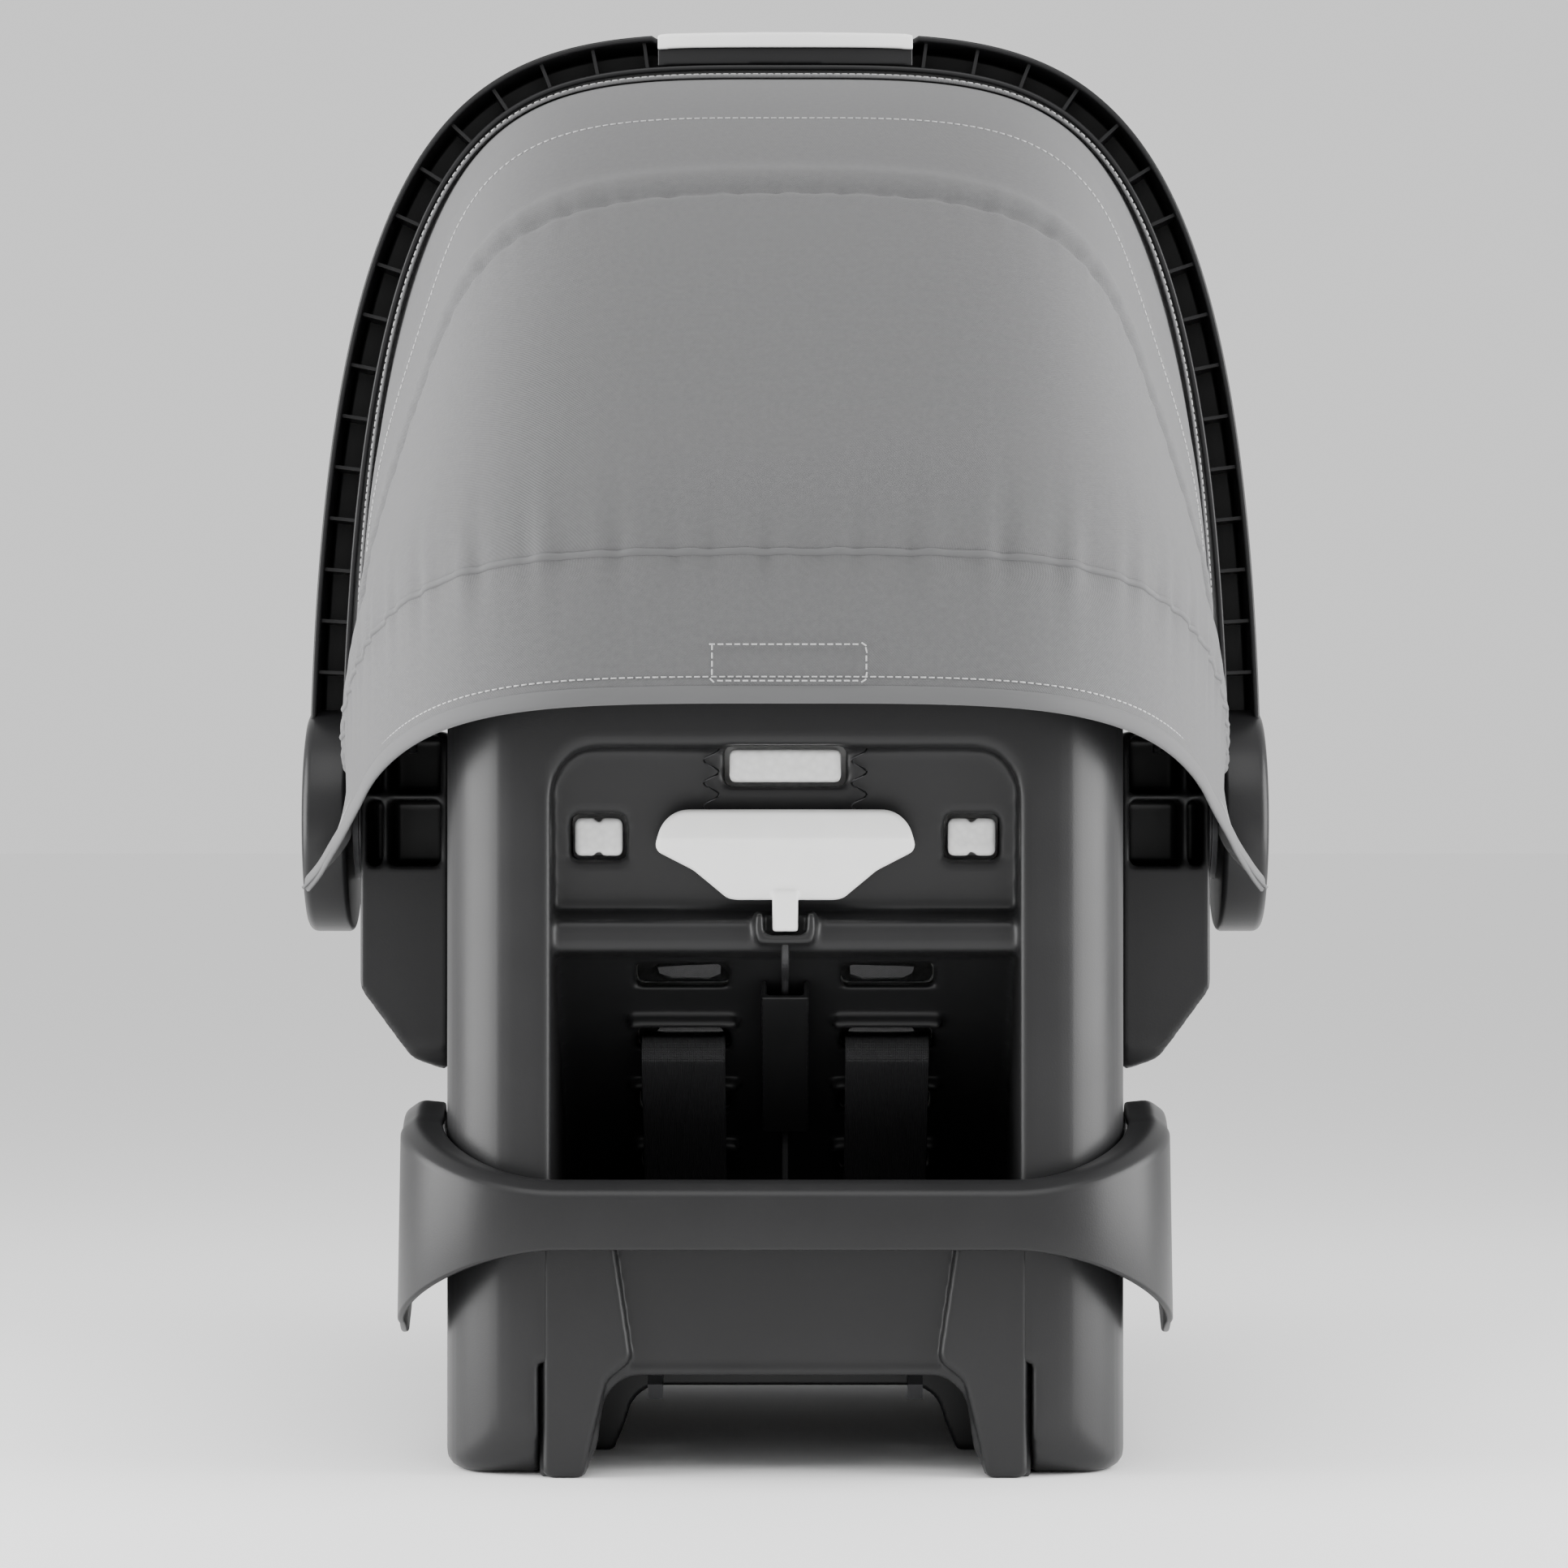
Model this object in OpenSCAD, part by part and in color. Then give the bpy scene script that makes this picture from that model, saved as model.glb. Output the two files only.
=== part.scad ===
// Infant car seat: a rear-facing carrier shell with a swinging carry handle, a folding canopy,
// a five-point harness and a squeeze lever that releases its latch hooks.
// Frame: +Z up, the child's head at -Y and feet at +Y, origin on the floor, 3 mm from the middle of the box.

/* [Overall] */
// Width over the two handle hubs
overall_w = 422; // [352:1:506]
// Length from the head end of the rim to the foot end of the rim
overall_l = 620; // [517:1:744]
// Height of the hub axis above the floor
hub_z = 257; // [240:1:308]
// Height of the handle's top above the hub axis
handle_rise = 347; // [347:1:416]

/* [Shell] */
// Wall of the moulded shell
wall = 3.5; // [2.5:0.1:4.5]
// Width of each rounded rear column
column_w = 41.5; // [34:0.5:50]
// Width of each side pod that carries a hub
pod_w = 38; // [31:0.5:46]
// Reach of the rolled rim beyond the shell
rim_reach = 22; // [18:0.5:24]
// Extra reach of the rolled rim at the foot end
foot_lip = 8; // [6:0.5:10]
// Depth of the rolled rim's lip
rim_lip = 16; // [12:0.5:20]
// Reach of the rear guard band beyond the columns
band_reach = 18; // [14:0.5:21]
// Height of the docking tunnel between the runners
tunnel_h = 40; // [33:1:44]

/* [Padding and harness] */
// Thickness of the foam liner
foam_t = 10; // [8:0.5:12]
// Thickness of the seat pad
pad_t = 14; // [11:0.5:17]
// Width of the harness webbing
web_w = 34; // [28:1:38]
// Thickness of the harness webbing
web_t = 1.6; // [1.2:0.1:2]

/* [Handle] */
// Radial thickness of the handle
handle_t = 16.5; // [13:0.5:19]
// Depth of the handle's channel
handle_d = 36; // [30:1:43]
// Wall of the handle's channel
handle_wall = 2.6; // [2:0.1:3.2]
// Number of ribs on each arm of the handle
rib_count = 15; // [9:1:18]
// Radius of each hub
hub_r = 49; // [44:1:52]
// Radius of the pivot pin
pin_r = 8; // [6.5:0.1:9.5]
// Radius of each hub button
button_r = 15; // [13:0.5:18]
// Travel of each hub button
button_travel = 4.5; // [3:0.5:5]

/* [Canopy] */
// Angle of the middle bow from the forward horizontal
mid_angle = 97; // [94:1:105]
// Angle of the front bow from the forward horizontal
front_angle = 52; // [45:1:60]
// Angle of the skirt's lower edge behind the head
skirt_angle = 172; // [168:1:174]
// Radius of the bow wire
bow_r = 2.4; // [1.8:0.1:2.8]
// Thickness of the canopy cloth
cloth_t = 1.6; // [1.2:0.1:2]

/* [Hidden] */
$fn = 48;
eps = 0.01;

// Scales that stretch the outline of the shell with the overall sizes
ky = overall_l / 620;
kz = hub_z / 257;

// Stack of layers along X, from the middle of the seat to the outside of a hub
half_w = overall_w / 2;
cap_t = 2;
fit_gap = 0.3;
cap_out = half_w - 0.6;
hub_t = 20;
hub_in = cap_out - hub_t;
ring_t = 2.5;
boss_t = 3.5;
boss_out = hub_in - fit_gap - 2 * (ring_t + fit_gap) - fit_gap;
pod_out = boss_out - boss_t;
side_x = pod_out - pod_w;
column_x = side_x - 9.5;
recess_x = column_x - column_w;
boss_r = 40;
journal_r = 18;
hub_wall = 3.5;

// Ends of the shell along Y
skirt_gap = 16;
rear_y = -overall_l / 2 + rim_reach + skirt_gap;
foot_y = overall_l / 2 - rim_reach;

// Harness slots and windows in the back of the shell
strap_x = min(recess_x * 0.45, recess_x - web_w / 2 - 6);
slot_w = web_w + 4;
slot_h = 9;
window_w = 20;
window_x = recess_x - window_w / 2 - 8;
lever_w = 1.12 * recess_x;

// ---------------------------------------------------------------- helpers
function unit(v) = v / norm(v);
function corner_arc(a, b, c, r, n) =
    let (u = unit(a - b), w = unit(c - b), half = acos(u * w) / 2,
        centre = b + unit(u + w) * r / sin(half), p0 = b + u * r / tan(half), p1 = b + w * r / tan(half),
        a0 = atan2(p0.y - centre.y, p0.x - centre.x), a1 = atan2(p1.y - centre.y, p1.x - centre.x),
        turn = (a1 - a0 > 180) ? a1 - a0 - 360 : (a1 - a0 < -180) ? a1 - a0 + 360 : a1 - a0)
    [for (i = [0:n]) centre + r * [cos(a0 + turn * i / n), sin(a0 + turn * i / n)]];
function flat2(p) = [p[0], p[1]];
// A closed outline from [x, y, radius] corners, with each radius as an arc
function rounded(p, n = 5) = [for (i = [0:len(p) - 1])
    let (a = flat2(p[(i + len(p) - 1) % len(p)]), b = flat2(p[i]), c = flat2(p[(i + 1) % len(p)]))
    each (p[i][2] > 0 ? corner_arc(a, b, c, p[i][2], n) : [b])];
// An open path from [x, y, radius] corners
function bent(p, n = 4) = [for (i = [0:len(p) - 1])
    each ((i > 0 && i < len(p) - 1 && p[i][2] > 0) ?
        corner_arc(flat2(p[i - 1]), flat2(p[i]), flat2(p[i + 1]), p[i][2], n) : [flat2(p[i])])];
function side_of(p, i) = let (a = p[max(i - 1, 0)], b = p[min(i + 1, len(p) - 1)], d = unit(b - a)) [-d.y,
    d.x];
// The outline of a strip of thickness t along an open path
function strip(p, t) = concat(
    [for (i = [0:len(p) - 1]) p[i] + side_of(p, i) * t / 2],
    [for (i = [len(p) - 1:-1:0]) p[i] - side_of(p, i) * t / 2]);
// Mirrors a half outline, listed from its rear to its front, to both sides
function both_sides(p) = concat(p, [for (i = [len(p) - 1:-1:0]) [-p[i][0], p[i][1], p[i][2]]]);

module extrude_x(outline, x0, x1) translate([x0, 0, 0]) rotate([90, 0,
    90]) linear_extrude(x1 - x0) polygon(outline);
module extrude_y(outline, y0, y1) translate([0, y1, 0]) rotate([90, 0,
    0]) linear_extrude(y1 - y0) polygon(outline);
module extrude_z(outline, z0, z1) translate([0, 0, z0]) linear_extrude(z1 - z0) polygon(outline);
module along_x(x0, x1, r) translate([x0, 0, hub_z]) rotate([0, 90, 0]) cylinder(h = x1 - x0, r = r);
module box(a, b) translate(a) cube(b - a);
module mirrored(side) if (side < 0) mirror([1, 0, 0]) children(); else children();

// A closed solid from rings of equal length, capped at both ends
module loft(rings) {
    n = len(rings);
    m = len(rings[0]);
    polyhedron(points = [for (r = rings) each r],
        faces = concat([[for (j = [0:m - 1]) j]], [[for (j = [m - 1:-1:0]) (n - 1) * m + j]],
            [for (i = [0:n - 2], j = [0:m - 1]) [i * m + j, (i + 1) * m + j, (i + 1) * m + (j + 1) % m]],
            [for (i = [0:n - 2], j = [0:m - 1]) [i * m + j, (i + 1) * m + (j + 1) % m,
                i * m + (j + 1) % m]]));
}

// ---------------------------------------------------------------- outlines of the shell
// Rim line seen from the side, from the head end to the foot end
function rim_line(h) = [[-380 * ky, 372 * kz - h, 0], [-288 * ky, 351 * kz - h, 60], [-60 * ky,
    291 * kz - h, 300],
    [170 * ky, 262 * kz - h, 400], [298 * ky, 272 * kz - h, 60], [400 * ky, 282 * kz - h, 0]];
function rim_band(top, bottom) = rounded(concat(rim_line(-top),
    [for (i = [5:-1:0]) rim_line(bottom)[i]]));
// Everything under the rim, as seen from the side, inset by t
function hull_side(t) = rounded([[rear_y + t, t, 26 - t], [60 * ky, t, 160], [foot_y - t, 178 * kz, 50],
    [foot_y - t, 420 * kz, 0], [rear_y + t, 420 * kz, 0]]);
// The shell seen from above, grown by d
function shell_plan(d) = rounded(both_sides([
    [column_x + d, rear_y - d, max(44 + d, 4)], [side_x + d, -40 * ky, 200], [side_x - 3 + d, 150 * ky,
        300],
    [side_x - 34 + d, foot_y + d, 70 + d]]), 8);
// The outside of the rolled rim seen from above, grown by d
function rim_plan(d) = rounded(both_sides([
    [column_x + rim_reach * 0.55 + d, rear_y - skirt_gap - d, 60 + d], [side_x + rim_reach + d, -40 * ky,
        200],
    [side_x + rim_reach - 3 + d, 150 * ky, 300], [side_x + rim_reach - 34 + d,
        foot_y + rim_reach + foot_lip + d, 92 + d]]), 8);

module hull(t) intersection() {
    extrude_x(hull_side(t), -half_w, half_w);
    extrude_z(shell_plan(-t), -1, 500 * kz);
}

// ---------------------------------------------------------------- back of the shell
recess_top = 287 * kz;
ledge_z = 206 * kz;
ledge_h = 12;
floor_z = tunnel_h + 5;
// The space behind the back of the seat, as seen from the side; t moves its front face forward
function back_line(t) = rounded([[-400 * ky, recess_top + t, 0], [rear_y + 12 + t, recess_top + t, 5],
    [rear_y + 24 + t, ledge_z + ledge_h + 4, 4], [rear_y + 8 + t, ledge_z + ledge_h, 3], [rear_y + 8 + t,
        ledge_z, 3],
    [rear_y + 40 + t, ledge_z - 3, 5], [-118 * ky + t, 108 * kz, 60], [-56 * ky + t, floor_z, 0],
    [-400 * ky, floor_z, 0]]);
function recess_front(t) = rounded([[-recess_x - t, -10, 0], [-recess_x - t, recess_top + t, 20 + t],
    [recess_x + t, recess_top + t, 20 + t], [recess_x + t, -10, 0]]);
module recess_block(t) intersection() {
    extrude_x(back_line(t), -half_w, half_w);
    extrude_y(recess_front(t), -400 * ky, 0);
}
module tunnel_block(t) box([-recess_x - 5 - t, -400 * ky, -1], [recess_x + 5 + t, 400 * ky, floor_z + t]);

slot_z = [196 * kz, 169 * kz, 142 * kz, 115 * kz];
module slots(y0, y1) for (z = slot_z, side = [-1, 1])
    box([side * strap_x - slot_w / 2, y0, z - slot_h / 2], [side * strap_x + slot_w / 2, y1,
        z + slot_h / 2]);
window_z = 251 * kz;
top_window_z = 279 * kz;
module windows(grow, y0, y1) {
    for (side = [-1, 1])
        box([side * window_x - window_w / 2 - grow, y0, window_z - 8 - grow],
            [side * window_x + window_w / 2 + grow, y1, window_z + 8 + grow]);
    box([-23 - grow, y0, top_window_z - 7 - grow], [23 + grow, y1, top_window_z + 7 + grow]);
}

module rim() {
    difference() {
        extrude_z(rim_plan(0), 100 * kz, 500 * kz);
        extrude_z(shell_plan(-eps), 0, 501 * kz);
        difference() {
            extrude_z(rim_plan(-3), 0, 501 * kz);
            extrude_x(rim_band(0, 3), -half_w, half_w);
        }
        extrude_x(rounded(concat(rim_line(rim_lip), [[400 * ky, 0, 0], [-400 * ky, 0, 0]])), -half_w,
            half_w);
        extrude_x(rounded(concat(rim_line(0), [[400 * ky, 600, 0], [-400 * ky, 600, 0]])), -half_w, half_w);
        pod_gap();
    }
}
pod_l = 96;
module pod_gap() box([-half_w, -pod_l, 0], [half_w, pod_l, 500 * kz]);

module seat_shell() color([0.09, 0.09, 0.095]) {
    difference() {
        hull(0);
        difference() {
            hull(wall);
            recess_block(wall);
            tunnel_block(wall);
        }
        recess_block(0);
        tunnel_block(0);
        extrude_x(rounded(concat(rim_line(0), [[400 * ky, 600, 0], [-400 * ky, 600, 0]])), -half_w, half_w);
        slots(-400 * ky, -40 * ky);
        windows(1, -400 * ky, rear_y + 60);
        box([-7, -400 * ky, ledge_z + 3], [7, rear_y + 21, ledge_z + 30]);
        box([-3, rear_y + 4, ledge_z - 2], [3, rear_y + 11, ledge_z + 6]);
        box([-web_w / 2 - 1, -92 * ky, floor_z + wall + 2], [web_w / 2 + 1, -48 * ky, floor_z + wall + 20]);
        pod_bolts(side_x - 12, side_x + 5, 2.2);
    }
    rim();
}

// Docking tunnel: two arch walls, a ceiling and two inner runner walls
arch_y = rear_y + 92 * ky;
module arch_wall(y, top, foot_x, top_x, inner_x, ceiling, r) extrude_y(rounded([[-foot_x, 0, 3],
    [-foot_x, floor_z - 1, 0], [-top_x, floor_z - 1, 0], [-top_x, top, 0], [top_x, top, 0], [top_x,
        floor_z - 1, 0],
    [foot_x, floor_z - 1, 0], [foot_x, 0, 3], [inner_x, 0, 2], [inner_x - 5, 12, 6], [inner_x - 9,
        ceiling, r],
    [-inner_x + 9, ceiling, r], [-inner_x + 5, 12, 6], [-inner_x, 0, 2]]), y, y + wall);
module bottom_pan() color([0.1, 0.1, 0.105]) {
    run_x = recess_x + 4.5;
    post_x = recess_x - 0.5;
    difference() {
        union() {
            arch_wall(rear_y + 8, 100 * kz, run_x, post_x, run_x * 0.82, tunnel_h, 16);
            arch_wall(arch_y, floor_z - 0.5, run_x, post_x, run_x * 0.73, tunnel_h * 0.66, 14);
            box([-run_x, rear_y + 8, tunnel_h], [run_x, 118 * ky, tunnel_h + wall]);
            for (side = [-1, 1])
                mirrored(side) {
                    box([run_x - wall, rear_y + 8, 0], [run_x, 56 * ky, tunnel_h + wall]);
                    box([post_x - wall, shaft_y - 12, tunnel_h], [post_x, shaft_y + 12, shaft_z + 12]);
                }
        }
        shaft_cylinder(run_x + 1, shaft_r + 0.02);
        box([-web_w / 2 - 2, -110 * ky, tunnel_h - 1], [web_w / 2 + 2, -98 * ky, tunnel_h + wall + 1]);
        for (side = [-1, 1])
            box([side * hook_x - 5, shaft_y - 26, tunnel_h - 20], [side * hook_x + 5, shaft_y + 24,
                tunnel_h + wall + 1]);
    }
}

// Guard band: a rolled lip around the columns that drops into a fin on each side
band_z = 118 * kz;
band_front = -70 * ky;
band_wall = 3;
// How far the side of the shell stands out at y
function side_at(y) = column_x + (side_x - column_x) * (y - rear_y) / (-40 * ky - rear_y);
function band_path() = let (d = band_reach + 1.2, low = rear_y + 50, corner = corner_arc([0, rear_y - d],
    [column_x + d, rear_y - d], [side_x + d, -40 * ky], 44 + d, 9)) concat([[0, rear_y - d],
    [recess_x * 0.5, rear_y - d]], corner, [for (i = [1:7]) let (y = low + (band_front - low) * i / 7)
        [side_at(y) + d, y]]);
// Section of the band at a share s of the way from the middle of the back (0) to the front of a fin (1)
function band_section(p, in, s) = let (fall = min(max((s - 0.25) / 0.4, 0), 1),
    shut = max((s - 0.65) / 0.35, 0),
    drop = fall * fall * (3 - 2 * fall), top = band_z + 26 * kz * drop - 40 * kz * shut,
    low = band_z - 27 * kz - 41 * kz * drop + 24 * kz * shut)
    [for (q = [[band_reach, top - 1], [8, top], [1.5, top - 4], [0, low], [band_wall, low],
        [band_wall + 1.5, top - 7],
        [9, top - 4], [band_reach, top - 5]]) [p.x + in.x * q.x, p.y + in.y * q.x, q.y]];
module rear_guard_band() color([0.1, 0.1, 0.105]) {
    path = band_path();
    n = len(path);
    half = [for (k = [0:n - 1]) band_section(path[k], k == 0 ? [0, 1] : side_of(path, k), k / (n - 1))];
    other = [for (k = [n - 1:-1:1]) [for (q = half[k]) [-q.x, q.y, q.z]]];
    loft(concat(other, half));
}

// Latch: a fixed shaft carries two hooks tied by a bar
shaft_y = -212 * ky;
shaft_z = tunnel_h + 20;
shaft_r = 4;
hook_x = 52;
hook_w = 6;
module shaft_cylinder(half, r) translate([-half, shaft_y, shaft_z]) rotate([0, 90,
    0]) cylinder(h = 2 * half, r = r);
module latch_shaft() color([0.2, 0.2, 0.21]) shaft_cylinder(recess_x - 0.5, shaft_r);
module latch_hooks() color([0.2, 0.2, 0.21]) difference() {
    union() {
        for (side = [-1, 1])
            extrude_x([[shaft_y - 8, shaft_z + 8], [shaft_y + 8, shaft_z + 8], [shaft_y + 6, shaft_z - 26],
                [shaft_y - 12, shaft_z - 34], [shaft_y - 14, shaft_z - 28], [shaft_y - 5, shaft_z - 20]],
                side * hook_x - hook_w / 2, side * hook_x + hook_w / 2);
        box([-hook_x, shaft_y - 3, shaft_z + 5], [hook_x, shaft_y + 3, shaft_z + 9]);
    }
    shaft_cylinder(hook_x + 5, shaft_r + 0.05);
}

// ---------------------------------------------------------------- foam, pad and pillow
// Seat surface as seen from the side, from the head to the feet
function seat_line() = [[-268 * ky, 400 * kz, 0], [-260 * ky, 330 * kz, 60], [-205 * ky, 225 * kz, 90],
    [-95 * ky, 110 * kz, 70], [-15 * ky, 68 * kz, 60], [60 * ky, 72 * kz, 80], [180 * ky, 120 * kz, 90],
    [258 * ky, 200 * kz, 60], [276 * ky, 400 * kz, 0]];
// Moves an open path sideways by d, with its corners mitred and its radii kept concentric
function shifted(p, d) = [for (i = [0:len(p) - 1])
    let (a = unit(flat2(p[min(i + 1, len(p) - 1)]) - flat2(p[min(i, len(p) - 2)])),
        b = unit(flat2(p[max(i, 1)]) - flat2(p[max(i - 1, 0)])), na = [-a.y, a.x], nb = [-b.y, b.x],
        q = flat2(p[i]) + (na + nb) / (1 + na * nb) * d, turn = b.x * a.y - b.y * a.x)
    [q.x, q.y, p[i][2] > 0 ? max(p[i][2] - sign(turn) * d, 3) : 0]];
liner_gap = 0.5;
module cavity(t) intersection() {
    extrude_x(bent(shifted(seat_line(), t)), -half_w, half_w);
    extrude_z(shell_plan(-wall - liner_gap - foam_t - t), 0, 390 * kz);
}
module over_rim(h) extrude_x(rounded(concat(rim_line(-h), [[400 * ky, 700, 0], [-400 * ky, 700, 0]])),
    -half_w, half_w);

hip_x = 105;
hip_y = 21 * ky;
crotch_y = 70 * ky;
adjuster_y = 166 * ky;
adjuster_tilt = atan2(48 * kz, 120 * ky);
adjuster_z = lookup(adjuster_y, [[60 * ky, 72 * kz], [180 * ky, 120 * kz]]);
housing_w = web_w + 18;
housing_l = 36;
module adjuster_frame() translate([0, adjuster_y, adjuster_z]) rotate([adjuster_tilt, 0, 0]) children();
module harness_cuts() {
    slots(-400 * ky, -40 * ky);
    for (side = [-1, 1])
        box([side * hip_x - 4, hip_y - web_w / 2 - 2, floor_z], [side * hip_x + 4, hip_y + web_w / 2 + 2,
            120 * kz]);
    box([-web_w / 2 - 2, crotch_y - 4, floor_z], [web_w / 2 + 2, crotch_y + 4, 120 * kz]);
    adjuster_frame() box([-housing_w / 2 - 0.5, -housing_l / 2 - 0.5, -30], [housing_w / 2 + 0.5,
        housing_l / 2 + 0.5, 40]);
}

module foam_liner() color([0.95, 0.95, 0.94]) {
    difference() {
        cavity(-foam_t);
        cavity(0);
        over_rim(-4);
        harness_cuts();
        pod_bolts(side_x - 10, side_x + 2, 5.5);
    }
    difference() {
        windows(-0.4, rear_y, -200 * ky);
        recess_block(0.6);
        cavity(-foam_t + 0.5);
    }
}

module seat_pad() color([0.42, 0.42, 0.43]) difference() {
    union() {
        cavity(0.3);
        intersection() {
            extrude_z(shell_plan(0), 0, 500 * kz);
            over_rim(0.3);
        }
    }
    cavity(pad_t);
    over_rim(4);
    harness_cuts();
}

pillow_t = 20;
pillow_z = 192 * kz;
module head_pillow() color([0.38, 0.38, 0.39]) difference() {
    intersection() {
        cavity(pad_t + 0.5);
        box([-half_w, -300 * ky, pillow_z], [half_w, -128 * ky, 320 * kz]);
    }
    cavity(pad_t + pillow_t);
}

// ---------------------------------------------------------------- harness
buckle_y = 15 * ky;
buckle_z = 103 * kz;
buckle_w = 50;
buckle_l = 62;
buckle_t = 18;
tongue_t = 3;
strap_z = buckle_z - tongue_t / 2 - web_t / 2;
strap_top = [-126 * ky, slot_z[1] + 2];
strap_bend = [-80 * ky, 126 * kz];
strap_low = [-28 * ky, strap_z];
behind = 5;
back_point = [-118 * ky, 108 * kz];
module webbing() color([0.06, 0.06, 0.065]) children();
splitter_y = -134 * ky;
splitter_z = tunnel_h + 32;
module shoulder_strap() webbing()
    extrude_x(strip(bent([[splitter_y + 6, splitter_z, 0], [back_point.x - 12, back_point.y - 16, 20],
        [-202 * ky, slot_z[1] - 6, 6], [-196 * ky, slot_z[1], 5], [strap_top.x - 8, slot_z[1], 5],
        [strap_top.x, strap_top.y, 5], [strap_bend.x, strap_bend.y, 30], [strap_low.x, strap_low.y, 30],
        [buckle_y - buckle_l / 2 + 18, strap_z, 0]]), web_t), strap_x - web_w / 2, strap_x + web_w / 2);
module shoulder_strap_left() mirrored(-1) shoulder_strap();
module shoulder_strap_right() shoulder_strap();

// A place on the strap, with local +Z up along it: along is the distance from the lower end of a stretch
module on_strap(low, high, along) let (d = unit(high - low))
    translate([strap_x, low.x + d.x * along, low.y + d.y * along]) rotate([atan2(-d.x, d.y), 0,
        0]) children();
cover_l = 46;
module strap_cover() color([0.12, 0.12, 0.125]) on_strap(strap_bend, strap_top, 14) difference() {
    extrude_z(rounded([[-web_w / 2 - 4, -5, 4], [web_w / 2 + 4, -5, 4], [web_w / 2 + 4, 5, 4],
        [-web_w / 2 - 4, 5, 4]]),
        0, cover_l);
    box([-web_w / 2 - 0.5, -web_t / 2 - 0.4, -1], [web_w / 2 + 0.5, web_t / 2 + 0.4, cover_l + 1]);
}
module strap_cover_left() mirrored(-1) strap_cover();
module strap_cover_right() strap_cover();

clip_h = 26;
clip_t = 9;
module chest_clip(side) color([0.08, 0.08, 0.085]) on_strap(strap_low, strap_bend, 20) difference() {
    union() {
        extrude_z(rounded([[-strap_x + 1, -clip_t / 2, 2], [web_w / 2 + 5, -clip_t / 2, 3],
            [web_w / 2 + 5, clip_t / 2, 3], [-strap_x + 1, clip_t / 2, 2]]), 0, clip_h);
        if (side > 0) box([-strap_x - 12, -1.5, 7], [-strap_x + 3, 1.5, clip_h - 7]);
    }
    box([-web_w / 2 - 0.6, -web_t / 2 - 0.5, -1], [web_w / 2 + 0.6, web_t / 2 + 0.5, clip_h + 1]);
    if (side < 0) box([-strap_x - 1, -1.9, 6.5], [-strap_x + 14, 1.9, clip_h - 6.5]);
}
module chest_clip_left() mirrored(-1) chest_clip(-1);
module chest_clip_right() chest_clip(1);

module hip_strap() webbing() translate([0, hip_y, 0]) extrude_y(strip(bent([[buckle_w / 2 + 14, strap_z, 0],
    [72, strap_z - 1, 20], [hip_x - 3, strap_z - 8, 8], [hip_x, strap_z - 18, 6], [hip_x, floor_z + 7,
        0]]), web_t),
    -web_w / 2, web_w / 2);
module hip_strap_left() mirrored(-1) hip_strap();
module hip_strap_right() hip_strap();
module crotch_strap() webbing() extrude_x(strip(bent([[buckle_y + buckle_l / 2, strap_z, 0],
    [crotch_y - 10, strap_z - 1, 8], [crotch_y, strap_z - 10, 5], [crotch_y, floor_z + 14, 0]]), web_t),
    -web_w / 2, web_w / 2);

tongue_in = 12;
module buckle_tongue() color([0.6, 0.6, 0.62]) {
    y0 = buckle_y - buckle_l / 2 + 4;
    y1 = hip_y + web_w / 2 + 1;
    difference() {
        extrude_z(rounded([[tongue_in, y0 + 8, 4], [buckle_w / 2 + 6, y0, 4], [buckle_w / 2 + 34, y0 - 6,
            6],
            [buckle_w / 2 + 34, y1, 8], [tongue_in, y1 - 8, 4]]), buckle_z - tongue_t / 2,
                buckle_z + tongue_t / 2);
        translate([tongue_in + 8, buckle_y, buckle_z - 5]) cylinder(h = 10, r = 3);
    }
}
module buckle_tongue_left() mirrored(-1) buckle_tongue();
module buckle_tongue_right() buckle_tongue();

button_w = 28;
button_l = 20;
module buckle_body() color([0.07, 0.07, 0.075]) difference() {
    extrude_z(rounded([[-buckle_w / 2, buckle_y - buckle_l / 2, 10], [buckle_w / 2,
        buckle_y - buckle_l / 2, 10],
        [buckle_w / 2 - 5, buckle_y + buckle_l / 2, 8], [-buckle_w / 2 + 5, buckle_y + buckle_l / 2, 8]]),
        buckle_z - buckle_t / 2, buckle_z + buckle_t / 2);
    for (side = [-1, 1])
        mirrored(side) box([tongue_in - 1, buckle_y - buckle_l / 2 + 2, buckle_z - tongue_t / 2 - 0.5],
            [buckle_w, buckle_y + buckle_l / 2 - 6, buckle_z + tongue_t / 2 + 0.5]);
    box([-button_w / 2 - 0.3, buckle_y - button_l / 2 - 0.3, buckle_z + tongue_t / 2 + 1.5],
        [button_w / 2 + 0.3, buckle_y + button_l / 2 + 0.3, buckle_z + buckle_t]);
    box([-web_w / 2 - 0.5, buckle_y + buckle_l / 2 - 10, strap_z - 1.5],
        [web_w / 2 + 0.5, buckle_y + buckle_l / 2 + 1, strap_z + 1.5]);
}
module buckle_button() color([0.55, 0.1, 0.09]) extrude_z(rounded([
    [-button_w / 2, buckle_y - button_l / 2, 3], [button_w / 2, buckle_y - button_l / 2, 3],
    [button_w / 2, buckle_y + button_l / 2, 3], [-button_w / 2, buckle_y + button_l / 2, 3]]),
    buckle_z + tongue_t / 2 + 4.6, buckle_z + buckle_t / 2 + 1);

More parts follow.
